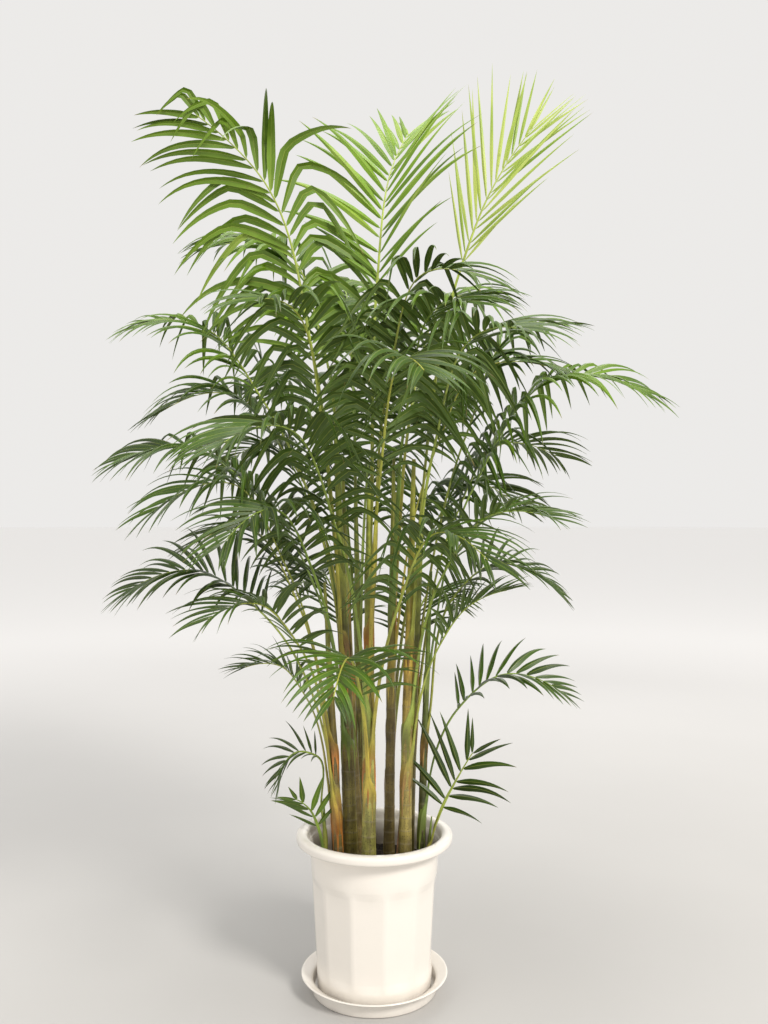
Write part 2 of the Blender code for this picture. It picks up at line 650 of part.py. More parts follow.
def settled_stalks(crowd):
    """Each frond's stalk, turned aside about its cane only as far as it must be to stand clear."""
    stalks = []
    for name, row in FRONDS.items():
        for step in range(TURN_TRIES):
            turn = (step + 1) // 2 * (TURN_STEP if step % 2 else -TURN_STEP)
            stalk = Stalk(name, row[2] + turn)
            if not crowd.touches(*stalk.slabs(FIT_GAP / 3)):
                break
        stalks.append(stalk)
        crowd.add(*stalk.slabs(FIT_GAP))
    return stalks


def settled_leaflet(rooms, stalk, own, pair, side_sign):
    """A leaflet bent, lifted or grown shorter only as far as it must be to hang clear: well
    clear of the stalks beside it or, where they stand too close for that, by a fit gap."""
    usual = product(LEAFLET_LENGTHS, LEAFLET_LIFTS, LEAFLET_TURNS)
    hemmed = product(HEMMED_LENGTHS, HEMMED_LIFTS, HEMMED_TURNS)
    for room, (shorten, lift, turn) in product(rooms, [*usual, *hemmed]):
        leaf = leaflet_line(stalk, pair, side_sign, turn, lift, shorten)
        slab = leaflet_slab(stalk, pair, side_sign, leaf, LEAF_GAP)
        if not room.touches(*slab, skip=own):
            break
    for room in rooms:
        room.add(*leaflet_slab(stalk, pair, side_sign, leaf, 0.0))
    return leaf


def make_frond(stalk, own, rooms, group, material):
    """A frond as one open sheet, stalk and leaflets together, thickened by a Solidify."""
    form = bmesh.new()
    rows = []
    for level in range(len(stalk.levels)):
        rows.append([form.verts.new(corner) for corner in stalk.corners(level)])
    for lower, upper in zip(rows, rows[1:]):
        form.faces.new((lower[0], lower[1], upper[1], upper[0]))
    blades = []
    for pair in range(stalk.pairs):
        start = STALK_STEPS + 2 * pair
        for side_sign in (-1, 1):
            edge = 1 if side_sign > 0 else 0
            low, high = rows[start][edge], rows[start + 1][edge]
            _, bend, tip, wide = settled_leaflet(rooms, stalk, own, pair, side_sign)
            half = wide * (LEAFLET_WIDTH / 2)
            outer = [form.verts.new(bend - half), form.verts.new(bend + half)]
            point = form.verts.new(tip)
            blades += outer + [point]
            if side_sign > 0:
                form.faces.new((low, outer[0], outer[1], high))
                form.faces.new((outer[0], point, outer[1]))
            else:
                form.faces.new((low, high, outer[1], outer[0]))
                form.faces.new((outer[0], outer[1], point))
    form.verts.index_update()
    thin = [vert.index for vert in blades]
    thick = [vert.index for row in rows for vert in row]
    mesh = bpy.data.meshes.new(stalk.name)
    form.to_mesh(mesh)
    form.free()
    item = add_object(stalk.name, mesh, group, material)
    bulk = item.vertex_groups.new(name="thickness")
    bulk.add(thick, 1.0, "REPLACE")
    bulk.add(thin, LEAFLET_THICKNESS / STALK_THICKNESS, "REPLACE")
    shell = item.modifiers.new("Thickness", "SOLIDIFY")
    shell.thickness = STALK_THICKNESS
    shell.offset = 0.0
    shell.vertex_group = "thickness"
    shell.thickness_vertex_group = 0.0


def make_plant(group, crowd):
    ringed = principled("cane_skin", (0.30, 0.29, 0.08), 0.5)
    dry = principled("dry_stalk", (0.45, 0.26, 0.15), 0.8)
    leaf = principled("leaf", (0.07, 0.17, 0.03), 0.4)
    for name in CANES:
        make_cane(name, group, dry if name == "dry_stalk" else ringed)
    stalks = settled_stalks(crowd)
    rooms = []
    for margin in (STALK_ROOM, FIT_GAP):
        room = Crowd()
        for name in CANES:
            room.add(*cane_slab(name, 0.0))
        for stalk in stalks:
            room.add(*stalk.slabs(margin))
        room.add(*pot_slab())
        rooms.append(room)
    for index, stalk in enumerate(stalks):
        make_frond(stalk, len(CANES) + index, rooms, group, leaf)
    return stalks


def main():
    clear_scene()
    group = new_collection(COLLECTION)
    cutters = new_collection("cutters")
    crowd = Crowd()
    settle_canes(crowd)
    make_saucer(group)
    make_pot(group)
    make_soil(group, cutters)
    return make_plant(group, crowd)


if __name__ == "__main__":
    main()
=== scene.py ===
"""Finished look of the potted palm: a clump of ringed canes with arching feather fronds, growing in
soil in a white plastic pot with flat side panels, on a saucer.

Metres and degrees, +Z up. Headings are measured about +Z from +X, so 270 points to the front.
"""

import math
import random

import bpy
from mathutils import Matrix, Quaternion, Vector


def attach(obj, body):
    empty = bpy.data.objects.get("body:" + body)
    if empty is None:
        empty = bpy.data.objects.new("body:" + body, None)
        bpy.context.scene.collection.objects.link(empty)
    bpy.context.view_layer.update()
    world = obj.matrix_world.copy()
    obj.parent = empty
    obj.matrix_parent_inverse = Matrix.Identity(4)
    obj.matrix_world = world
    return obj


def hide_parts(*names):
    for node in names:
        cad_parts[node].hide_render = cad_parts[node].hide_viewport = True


bl_info = {
    "name": "Potted Palm",
    "version": (1, 0, 0),
    "blender": (4, 5, 0),
    "location": "3D View > Sidebar > Potted Palm",
    "description": "Builds the finished potted palm around its packed frame",
    "category": "Add Mesh",
}

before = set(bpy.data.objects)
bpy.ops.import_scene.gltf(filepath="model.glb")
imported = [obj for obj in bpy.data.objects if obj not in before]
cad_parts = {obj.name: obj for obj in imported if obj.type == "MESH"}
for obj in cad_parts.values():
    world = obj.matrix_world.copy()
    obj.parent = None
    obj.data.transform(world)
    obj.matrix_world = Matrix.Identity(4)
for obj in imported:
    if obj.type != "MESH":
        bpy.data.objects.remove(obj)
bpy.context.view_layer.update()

# ---------------------------------------------------------------- the frame's sizes

RIM_RADIUS = 0.155
RIM_TOP = 0.311
RIM_BAND = 0.018
RIM_INNER_RADIUS = 0.132
BODY_TOP_RADIUS = 0.128
BODY_FOOT_RADIUS = 0.112
POT_WALL = 0.0032
POT_BASE = 0.0043
POT_FLOOR = 0.004
DRAIN_RADIUS = 0.012
PANELS = 12
PANEL_TURN = 279.7
PANEL_LOW = 0.056
PANEL_HIGH = 0.215
PANEL_FADE = 0.018
SAUCER_LIP_RADIUS = 0.145
SAUCER_WALL_RADIUS = 0.124
SAUCER_HEIGHT = 0.036
SAUCER_WALL = 0.0028
SAUCER_FLOOR = 0.004
SOIL_TOP = 0.245
SOIL_EDGE = 0.006
FIT_GAP = 0.0003
ROOTED = 0.05
FLARE = 1.12
CANE_TAPER = ((0.0, FLARE), (0.12, 1.0), (0.40, 0.86), (0.70, 0.62), (1.0, 0.30))
STALK_WIDTH = 0.0085
STALK_TIP_WIDTH = 0.003
STALK_THICKNESS = 0.0045
LEAVING_RISE = 0.05
LEAVING_REACH = 0.005

# Canes: heading and share of the free soil radius where each is rooted, height above the soil,
# radius, heading and length of its lean, the power that bends it, and its colouring.
CANES = {
    "cane_1": (180, 0.47, 0.86, 0.0140, 185, 0.03, 1.2, "olive"),
    "cane_2": (195, 0.68, 0.56, 0.0090, 200, 0.03, 1.2, "brown"),
    "cane_3": (130, 0.35, 0.76, 0.0100, 175, 0.04, 0.6, "brown"),
    "cane_4": (260, 0.57, 0.74, 0.0130, 270, 0.02, 1.0, "lime"),
    "cane_5": (33, 0.33, 0.82, 0.0100, 60, 0.02, 1.0, "brown"),
    "cane_6": (325, 0.71, 0.80, 0.0120, 330, 0.02, 1.2, "gold"),
    "cane_7": (28, 0.75, 0.70, 0.0090, 20, 0.03, 1.2, "olive"),
    "cane_8": (0, 0.87, 0.58, 0.0080, 0, 0.02, 1.3, "green"),
    "cane_9": (153, 0.82, 0.45, 0.0050, 160, 0.02, 1.0, "green"),
    "cane_10": (110, 0.78, 0.78, 0.0100, 110, 0.04, 1.2, "olive"),
    "cane_11": (70, 0.80, 0.74, 0.0100, 60, 0.03, 1.2, "gold"),
    "shoot_right": (349, 0.94, 0.10, 0.0040, 350, 0.01, 1.0, "green"),
    "shoot_left": (184, 0.86, 0.13, 0.0040, 170, 0.005, 1.0, "green"),
    "dry_stalk": (337, 0.42, 0.36, 0.0025, 20, 0.03, 1.0, "dry"),
}

# Fronds: the cane, the height above the soil where the stalk leaves it, and the heading; then
# reach and height above the soil where the leaflets start, at the bend and at the stalk's tip;
# then the longest leaflet, the roll of the blade, how far its leaflets droop, how wide they
# spread, and its freshness from old and dark at 0 to newly opened at 1. On the upper fronds
# the higher freshness is partly painted glow: light shining through their leaflets, painted as
# a brighter green.
FRONDS = {
    "frond_1": ("cane_1", 0.62, 212, (0.05, 1.00), (0.17, 1.34), (0.29, 1.42), 0.31, 58, 0.8, 0.85, 0.62),
    "frond_2": ("cane_4", 0.66, 66, (0.03, 1.14), (0.09, 1.37), (0.19, 1.49), 0.28, 0, 0.4, 0.85, 0.68),
    "frond_3": ("cane_6", 0.62, 5, (0.09, 1.18), (0.15, 1.33), (0.23, 1.45), 0.27, 75, 0.1, 0.5, 0.90),
    "frond_4": ("cane_4", 0.52, 318, (0.04, 0.94), (0.12, 1.13), (0.24, 1.11), 0.23, 0, 1.0, 1.0, 0.30),
    "frond_5": ("cane_7", 0.46, 12, (0.10, 0.87), (0.20, 1.07), (0.29, 1.09), 0.21, 15, 1.0, 1.0, 0.42),
    "frond_6": ("cane_8", 0.42, 352, (0.08, 0.74), (0.25, 0.96), (0.41, 0.93), 0.23, 22, 1.1, 1.0, 0.50),
    "frond_7": ("cane_6", 0.34, 322, (0.07, 0.58), (0.17, 0.69), (0.29, 0.69), 0.19, 0, 1.0, 1.0, 0.30),
    "frond_8": ("cane_8", 0.30, 8, (0.05, 0.53), (0.12, 0.59), (0.26, 0.54), 0.15, 18, 1.2, 1.0, 0.22),
    "frond_9": ("cane_8", 0.15, 350, (0.06, 0.31), (0.15, 0.38), (0.26, 0.35), 0.14, 20, 1.0, 1.0, 0.24),
    "frond_10": ("cane_6", 0.26, 345, (0.05, 0.44), (0.11, 0.52), (0.18, 0.55), 0.15, 0, 0.8, 1.0, 0.28),
    "frond_11": ("cane_1", 0.50, 166, (0.16, 0.93), (0.29, 1.08), (0.42, 1.09), 0.22, -22, 1.1, 1.0, 0.46),
    "frond_12": ("cane_1", 0.37, 186, (0.15, 0.72), (0.28, 0.82), (0.41, 0.80), 0.22, -18, 1.1, 1.0, 0.26),
    "frond_13": ("cane_3", 0.46, 174, (0.12, 0.82), (0.24, 0.94), (0.37, 0.91), 0.23, -15, 1.0, 1.0, 0.30),
    "frond_14": ("cane_2", 0.28, 205, (0.09, 0.60), (0.19, 0.75), (0.34, 0.70), 0.21, -12, 1.1, 1.0, 0.30),
    "frond_15": ("cane_2", 0.21, 186, (0.13, 0.50), (0.26, 0.585), (0.38, 0.55), 0.19, -20, 1.1, 1.0, 0.22),
    "frond_16": ("cane_2", 0.16, 225, (0.08, 0.44), (0.18, 0.53), (0.29, 0.51), 0.18, 0, 1.1, 1.0, 0.28),
    "frond_17": ("cane_4", 0.20, 262, (0.08, 0.36), (0.20, 0.45), (0.34, 0.41), 0.18, 0, 1.2, 1.0, 0.36),
    "frond_18": ("cane_4", 0.42, 285, (0.07, 0.76), (0.19, 0.95), (0.34, 0.92), 0.25, 0, 1.0, 1.0, 0.30),
    "frond_19": ("cane_4", 0.36, 232, (0.08, 0.66), (0.20, 0.84), (0.36, 0.81), 0.25, 0, 1.0, 1.0, 0.26),
    "frond_20": ("cane_4", 0.27, 305, (0.08, 0.52), (0.19, 0.66), (0.33, 0.62), 0.21, 0, 1.0, 1.0, 0.24),
    "frond_21": ("cane_1", 0.44, 248, (0.08, 0.84), (0.18, 1.05), (0.33, 1.05), 0.26, 0, 1.0, 1.0, 0.36),
    "frond_22": ("cane_1", 0.28, 240, (0.10, 0.58), (0.21, 0.70), (0.36, 0.65), 0.21, 0, 1.0, 1.0, 0.24),
    "frond_23": ("cane_5", 0.56, 294, (0.06, 0.90), (0.15, 1.06), (0.30, 1.06), 0.25, 0, 1.0, 1.0, 0.36),
    "frond_24": ("cane_5", 0.44, 345, (0.08, 0.82), (0.17, 0.98), (0.30, 0.98), 0.24, 10, 1.0, 1.0, 0.32),
    "frond_25": ("cane_6", 0.48, 303, (0.07, 0.82), (0.17, 1.00), (0.32, 1.00), 0.25, 0, 1.0, 1.0, 0.30),
    "frond_26": ("cane_3", 0.60, 146, (0.05, 1.04), (0.15, 1.25), (0.32, 1.29), 0.28, -15, 1.0, 1.0, 0.50),
    "frond_27": ("cane_3", 0.34, 138, (0.10, 0.70), (0.22, 0.84), (0.38, 0.81), 0.23, 0, 1.0, 1.0, 0.28),
    "frond_28": ("cane_10", 0.58, 100, (0.06, 1.00), (0.17, 1.20), (0.33, 1.21), 0.26, 0, 1.0, 1.0, 0.46),
    "frond_29": ("cane_10", 0.46, 125, (0.08, 0.82), (0.20, 1.00), (0.36, 0.98), 0.25, 0, 1.0, 1.0, 0.34),
    "frond_30": ("cane_10", 0.34, 85, (0.08, 0.66), (0.20, 0.82), (0.36, 0.78), 0.23, 0, 1.0, 1.0, 0.26),
    "frond_31": ("cane_11", 0.56, 50, (0.07, 0.98), (0.17, 1.17), (0.32, 1.19), 0.25, 0, 1.0, 1.0, 0.44),
    "frond_32": ("cane_11", 0.44, 72, (0.08, 0.82), (0.19, 0.98), (0.36, 0.95), 0.24, 0, 1.0, 1.0, 0.34),
    "frond_33": ("cane_11", 0.32, 38, (0.08, 0.62), (0.20, 0.76), (0.36, 0.71), 0.21, 0, 1.0, 1.0, 0.26),
    "frond_34": ("cane_7", 0.34, 24, (0.08, 0.68), (0.19, 0.84), (0.33, 0.82), 0.22, -12, 1.0, 1.0, 0.30),
    "frond_35": ("cane_9", 0.26, 160, (0.07, 0.52), (0.17, 0.66), (0.31, 0.63), 0.18, -10, 1.0, 1.0, 0.24),
    "frond_36": ("cane_9", 0.14, 196, (0.05, 0.33), (0.10, 0.39), (0.17, 0.39), 0.14, 0, 1.0, 1.0, 0.26),
    "frond_37": ("cane_10", 0.22, 118, (0.07, 0.45), (0.17, 0.56), (0.31, 0.52), 0.18, 0, 1.0, 1.0, 0.22),
    "frond_38": ("cane_11", 0.20, 60, (0.07, 0.42), (0.17, 0.52), (0.30, 0.48), 0.17, 0, 1.0, 1.0, 0.22),
    "frond_39": (
        "shoot_left", 0.11, 188, (0.01, 0.215), (0.045, 0.225), (0.085, 0.165),
        0.10, -20, 1.3, 1.0, 0.16
    ),
    "frond_40": (
        "shoot_right", 0.06, 345, (0.02, 0.12), (0.045, 0.17), (0.08, 0.23),
        0.17, 75, 0.6, 1.0, 0.18
    ),
    "frond_41": (
        "shoot_left", 0.03, 215, (0.012, 0.08), (0.03, 0.115), (0.06, 0.14),
        0.10, 50, 0.5, 1.0, 0.34
    ),
}
YOUNG_FROND = "frond_3"
# Fronds whose leaflets are broader for their length than the others'
BROAD = {"frond_9": 1.6, "frond_17": 1.25, "frond_39": 1.2, "frond_40": 1.25, "frond_41": 2.0}

# Cane colourings: the bare foot, the leaf-sheath zone and the green top
CANE_COLOURS = {
    "olive": ((0.165, 0.138, 0.028), (0.150, 0.145, 0.026), (0.250, 0.290, 0.050)),
    "brown": ((0.145, 0.108, 0.030), (0.180, 0.140, 0.030), (0.230, 0.240, 0.040)),
    "lime": ((0.270, 0.255, 0.060), (0.200, 0.170, 0.030), (0.300, 0.330, 0.050)),
    "gold": ((0.250, 0.200, 0.050), (0.370, 0.255, 0.040), (0.330, 0.330, 0.045)),
    "green": ((0.070, 0.078, 0.020), (0.100, 0.125, 0.022), (0.160, 0.235, 0.035)),
    "dry": ((0.420, 0.215, 0.120), (0.470, 0.250, 0.140), (0.360, 0.190, 0.100)),
}
# Stalk colourings, taken in turn: the sheath round the cane, then the stalk
STALK_COLOURS = (
    ((0.200, 0.210, 0.040), (0.230, 0.290, 0.050)),
    ((0.400, 0.150, 0.028), (0.330, 0.290, 0.045)),
    ((0.300, 0.230, 0.045), (0.430, 0.340, 0.050)),
    ((0.150, 0.190, 0.035), (0.130, 0.200, 0.035)),
    ((0.260, 0.150, 0.040), (0.280, 0.300, 0.048)),
)


def direction(heading):
    """The level unit vector of a heading in degrees."""
    angle = math.radians(heading)
    return Vector((math.cos(angle), math.sin(angle), 0.0))


def smooth(low, high, value):
    """0 at low and 1 at high, with a soft start and end; low may be the larger."""
    t = max(0.0, min(1.0, (value - low) / (high - low)))
    return t * t * (3 - 2 * t)


def mixed(a, b, share):
    """Colour a drawn towards colour b by a share."""
    return tuple(x + (y - x) * share for x, y in zip(a, b))


# ---------------------------------------------------------------- meshes


class Skin:
    """Points and faces of one piece, with what its materials read: a pattern map along and across
    each part of it, a sheet map in which no two faces overlap, and a tone for each point."""

    def __init__(self):
        self.points, self.tones = [], []
        self.faces, self.slots, self.under = [], [], []
        self.pattern, self.sheet = [], []

    def point(self, place, tone):
        self.points.append(tuple(place))
        self.tones.append((*tone, 1.0))
        return len(self.points) - 1

    def face(self, corners, slot, pattern, sheet, under=0.0):
        self.faces.append(tuple(corners))
        self.slots.append(slot)
        self.under.append(under)
        self.pattern += pattern
        self.sheet += sheet

    def piece(self, name, materials, angle=40):
        mesh = bpy.data.meshes.new(name)
        mesh.from_pydata(self.points, [], self.faces)
        for material in materials:
            mesh.materials.append(material)
        mesh.polygons.foreach_set("material_index", self.slots)
        for layer, places in (("pattern", self.pattern), ("OFBake", self.sheet)):
            uv = mesh.uv_layers.new(name=layer)
            uv.data.foreach_set("uv", [x for place in places for x in place])
        mesh.uv_layers["pattern"].active_render = True
        tone = mesh.attributes.new("tone", "FLOAT_COLOR", "POINT")
        tone.data.foreach_set("color", [x for value in self.tones for x in value])
        under = mesh.attributes.new("under", "FLOAT", "FACE")
        under.data.foreach_set("value", self.under)
        mesh.shade_smooth()
        mesh.set_sharp_from_angle(angle=math.radians(angle))
        item = bpy.data.objects.new(name, mesh)
        bpy.context.scene.collection.objects.link(item)
        return item


def tube(skin, rings, tones, lengths, slot, patch):
    """A closed tube over rings of points, drawn to a point at each end. Its faces look out where
    each ring runs anticlockwise seen from the tube's far end. patch is its place on the sheet."""
    left, low, right, high = patch
    sides = len(rings[0])
    rows = [[skin.point(p, tone) for p in ring] for ring, tone in zip(rings, tones)]

    def places(level, step):
        across = step / sides
        along = level / (len(rings) - 1)
        on_sheet = (left + (right - left) * across, low + (high - low) * (0.01 + 0.98 * along))
        return (across, lengths[level]), on_sheet

    for level in range(len(rows) - 1):
        for i in range(sides):
            j = (i + 1) % sides
            around = [(level, i), (level, i + 1), (level + 1, i + 1), (level + 1, i)]
            both = [places(*spot) for spot in around]
            corners = (rows[level][i], rows[level][j], rows[level + 1][j], rows[level + 1][i])
            skin.face(corners, slot, [b[0] for b in both], [b[1] for b in both])
    for level, flip in ((0, True), (len(rows) - 1, False)):
        middle = sum((Vector(skin.points[v]) for v in rows[level]), Vector()) / sides
        tip = skin.point(middle, tones[level])
        for i in range(sides):
            j = (i + 1) % sides
            spots = [places(level, i), places(level, i + 1)]
            end = 0.0 if flip else 1.0
            centre = (left + (right - left) * (i + 0.5) / sides, low + (high - low) * end)
            corners = (rows[level][j], rows[level][i], tip)
            spots = spots[::-1]
            if not flip:
                corners = (rows[level][i], rows[level][j], tip)
                spots = spots[::-1]
            pattern = [s[0] for s in spots] + [((i + 0.5) / sides, lengths[level])]
            skin.face(corners, slot, pattern, [s[1] for s in spots] + [centre])


# ---------------------------------------------------------------- node helpers


class Nodes:
    """Nodes of one material or group, laid out left to right as they are made."""

    def __init__(self, tree):
        self.tree = tree
        self.made = 0

    def add(self, kind, inputs=None, **settings):
        node = self.tree.nodes.new(kind)
        node.location = (180 * (self.made % 8), -260 * (self.made // 8))
        self.made += 1
        for key, value in settings.items():
            setattr(node, key, value)
        for key, value in (inputs or {}).items():
            self.feed(node.inputs[key], value)
        return node

    def feed(self, socket, value):
        if isinstance(value, bpy.types.NodeSocket):
            self.tree.links.new(value, socket)
        else:
            socket.default_value = value

    def maths(self, operation, a, b=0.0, c=0.0, clamp=False):
        node = self.add("ShaderNodeMath", {0: a, 1: b, 2: c}, operation=operation)
        node.use_clamp = clamp
        return node.outputs[0]

    def times(self, *values):
        product = values[0]
        for value in values[1:]:
            product = self.maths("MULTIPLY", product, value)
        return product

    def scaled(self, colour, factor):
        node = self.add("ShaderNodeVectorMath", {0: colour, "Scale": factor}, operation="SCALE")
        return node.outputs[0]

    def length(self, vector):
        node = self.add("ShaderNodeVectorMath", {0: vector}, operation="LENGTH")
        return node.outputs["Value"]

    def pattern(self):
        return self.add("ShaderNodeUVMap", uv_map="pattern").outputs[0]

    def spot(self):
        return self.add("ShaderNodeTexCoord").outputs["Object"]

    def stored(self, name, output="Fac"):
        return self.add("ShaderNodeAttribute", attribute_name=name).outputs[output]

    def separated(self, vector):
        return self.add("ShaderNodeSeparateXYZ", {0: vector}).outputs

    def ranged(self, value, low, high, to_low=0.0, to_high=1.0, soft=True):
        node = self.add(
            "ShaderNodeMapRange",
            {"Value": value, "From Min": low, "From Max": high, "To Min": to_low, "To Max": to_high},
        )
        node.interpolation_type = "SMOOTHSTEP" if soft else "LINEAR"
        return node.outputs["Result"]

    def mix(self, share, a, b, blend="MIX"):
        node = self.add("ShaderNodeMix", data_type="RGBA", blend_type=blend)
        for socket, value in ((0, share), (6, a), (7, b)):
            self.feed(node.inputs[socket], value)
        return node.outputs[2]

    def noise(self, vector, scale, detail=3.0, rough=0.55):
        return self.add(
            "ShaderNodeTexNoise",
            {"Vector": vector, "Scale": scale, "Detail": detail, "Roughness": rough},
        ).outputs["Fac"]

    def stretched(self, vector, scale):
        return self.add("ShaderNodeMapping", {"Vector": vector, "Scale": scale}).outputs[0]

    def ramp(self, value, stops):
        node = self.add("ShaderNodeValToRGB", {"Fac": value})
        ramp = node.color_ramp
        while len(ramp.elements) < len(stops):
            ramp.elements.new(0.5)
        for element, (place, colour) in zip(ramp.elements, stops):
            element.position = place
            element.color = (*colour, 1.0)
        return node.outputs["Color"]


def new_group(name, inputs, outputs, build):
    """A shader node group with named sockets, built once."""
    tree = bpy.data.node_groups.new(name, "ShaderNodeTree")
    for label, kind, default in inputs:
        socket = tree.interface.new_socket(label, in_out="INPUT", socket_type=kind)
        if default is not None:
            socket.default_value = default
    for label, kind in outputs:
        tree.interface.new_socket(label, in_out="OUTPUT", socket_type=kind)
    nodes = Nodes(tree)
    given = nodes.add("NodeGroupInput")
    result = nodes.add("NodeGroupOutput")
    for label, socket in build(nodes, given.outputs).items():
        nodes.feed(result.inputs[label], socket)
    return tree


def placed(nodes, group, inputs):
    node = nodes.add("ShaderNodeGroup", node_tree=group)
    for key, value in inputs.items():
        nodes.feed(node.inputs[key], value)
    return node.outputs


def made_once(name, shown, build, settings=()):
    """The material of this name. If it's new, its Principled shader goes straight to the output,
    takes the fixed settings, and is fed by what build returns."""
    material = bpy.data.materials.get(name)
    if material:
        return material
    material = bpy.data.materials.new(name)
    material.use_nodes = True
    material.diffuse_color = (*shown, 1.0)
    shader = material.node_tree.nodes["Principled BSDF"]
    for key, value in settings:
        shader.inputs[key].default_value = value
    nodes = Nodes(material.node_tree)
    for key, value in build(nodes).items():
        nodes.feed(shader.inputs[key], value)
    return material


def bump(nodes, height, strength, distance):
    return nodes.add(
        "ShaderNodeBump", {"Height": height, "Strength": strength, "Distance": distance}
    ).outputs["Normal"]


# ---------------------------------------------------------------- shared effects


def build_mottle(nodes, given):
    """A colour broken up by broad patches and fine specks, and the mask of the specks."""
    broad = nodes.noise(given["Vector"], given["Patches"], 3.0)
    fine = nodes.noise(given["Vector"], given["Specks"], 2.0)
    lighter = nodes.ranged(broad, 0.3, 0.7, 0.0, 1.0)
    change = nodes.maths("MULTIPLY", nodes.maths("SUBTRACT", lighter, 0.5), given["Strength"])
    factor = nodes.maths("ADD", change, 1.0)
    shade = nodes.scaled(given["Colour"], factor)
    speck = nodes.ranged(fine, 0.62, 0.70, 0.0, 1.0)
    share = nodes.maths("MULTIPLY", speck, given["Speck Share"])
    colour = nodes.mix(share, shade, given["Speck Colour"])
    return {"Colour": colour, "Specks": speck, "Patches": broad}


def mottle_group():
    return new_group(
        "mottle",
        (
            ("Vector", "NodeSocketVector", None),
            ("Colour", "NodeSocketColor", (0.5, 0.5, 0.5, 1.0)),
            ("Speck Colour", "NodeSocketColor", (0.05, 0.03, 0.02, 1.0)),
            ("Patches", "NodeSocketFloat", 12.0),
            ("Specks", "NodeSocketFloat", 90.0),
            ("Strength", "NodeSocketFloat", 0.3),
            ("Speck Share", "NodeSocketFloat", 0.5),
        ),
        (
            ("Colour", "NodeSocketColor"),
            ("Specks", "NodeSocketFloat"),
            ("Patches", "NodeSocketFloat"),
        ),
        build_mottle,
    )


def build_blade(nodes, given):
    """A leaflet's markings from its pattern map: midrib, fine veins, edges and tip."""
    parts = nodes.separated(given["Vector"])
    off = nodes.maths("ABSOLUTE", nodes.maths("SUBTRACT", parts["X"], 0.5))
    midrib = nodes.ranged(off, 0.015, 0.05, 1.0, 0.0)
    edge = nodes.ranged(off, 0.45, 0.5, 0.0, 1.0)
    tip = nodes.ranged(parts["Y"], 0.90, 1.0, 0.0, 1.0)
    wander = nodes.noise(nodes.stretched(given["Vector"], (6.0, 3.0, 1.0)), 1.0, 2.0)
    wander = nodes.times(wander, 3.0)
    phase = nodes.maths("MULTIPLY_ADD", parts["X"], given["Veins"], wander)
    vein = nodes.maths("MULTIPLY_ADD", nodes.maths("SINE", phase), 0.5, 0.5)
    streak = nodes.noise(nodes.stretched(given["Vector"], (38.0, 1.6, 1.0)), 1.0, 3.0, 0.6)
    return {"Midrib": midrib, "Edge": edge, "Tip": tip, "Veins": vein, "Streaks": streak}


def blade_group():
    return new_group(
        "blade_markings",
        (("Vector", "NodeSocketVector", None), ("Veins", "NodeSocketFloat", 80.0)),
        tuple((name, "NodeSocketFloat") for name in ("Midrib", "Edge", "Tip", "Veins", "Streaks")),
        build_blade,
    )


def groups():
    made = {"mottle": mottle_group, "blade_markings": blade_group}
    return {name: bpy.data.node_groups.get(name) or make() for name, make in made.items()}


# ---------------------------------------------------------------- materials


def opaque(colour):
    return (*colour, 1.0)


def mottled(nodes, spot, colour, specks, patches, speck_size, strength, share):
    given = {"Vector": spot, "Colour": colour, "Speck Colour": opaque(specks), "Patches": patches}
    given.update({"Specks": speck_size, "Strength": strength, "Speck Share": share})
    return placed(nodes, groups()["mottle"], given)


def leaf_material(name, looks, stops):
    """Satin leaflets: freshness in the tone's red, chance in its green, dryness in its blue. On the upper
    fronds the higher freshness is partly painted glow, light shining through the leaflets.
    """

    def build(nodes):
        spot = nodes.spot()
        tone = nodes.add("ShaderNodeSeparateColor", {0: nodes.stored("tone", "Color")}).outputs
        under = nodes.stored("under")
        given = {"Vector": nodes.pattern(), "Veins": 84.0}
        marks = placed(nodes, groups()["blade_markings"], given)
        drift = nodes.ranged(nodes.noise(spot, 9.0, 2.0), 0.25, 0.75, -0.10, 0.10)
        fresh = nodes.maths("ADD", tone["Red"], drift)
        chance = nodes.ranged(tone["Green"], 0.0, 1.0, -0.09, 0.09, False)
        # painted glow: the upper fronds' higher freshness picks brighter stops, in place of light shining
        # through their leaflets
        base = nodes.ramp(nodes.maths("ADD", fresh, chance), stops)
        light = nodes.ranged(marks["Streaks"], 0.25, 0.75, 0.80, 1.18)
        light = nodes.times(light, nodes.ranged(marks["Veins"], 0.0, 1.0, 0.94, 1.05))
        shade = nodes.scaled(base, light)
        pale = nodes.mix(0.5, shade, opaque(looks.underside))
        colour = nodes.mix(nodes.times(under, 0.55), shade, pale)
        blotch = nodes.ranged(nodes.noise(spot, 55.0, 3.0), 0.66, 0.74, 0.0, 0.45)
        dry = nodes.times(marks["Tip"], tone["Blue"])
        layers = (
            (nodes.times(marks["Midrib"], 0.55), looks.midrib),
            (nodes.times(marks["Edge"], 0.25), looks.midrib),
            (blotch, looks.blemish),
            (dry, looks.dry_tip),
        )
        for share, layer in layers:
            colour = nodes.mix(share, colour, opaque(layer))
        gloss = nodes.ranged(marks["Streaks"], 0.2, 0.8, looks.gloss - 0.06, looks.gloss + 0.10)
        gloss = nodes.maths("ADD", gloss, nodes.times(under, 0.16))
        gloss = nodes.maths("ADD", gloss, nodes.times(dry, 0.3))
        relief = nodes.maths("ADD", marks["Veins"], nodes.times(marks["Streaks"], 1.4))
        return {"Base Color": colour, "Roughness": gloss, "Normal": bump(nodes, relief, 0.20, 0.00025)}

    return made_once(name, stops[1][1], build, (("Specular IOR Level", 0.38),))


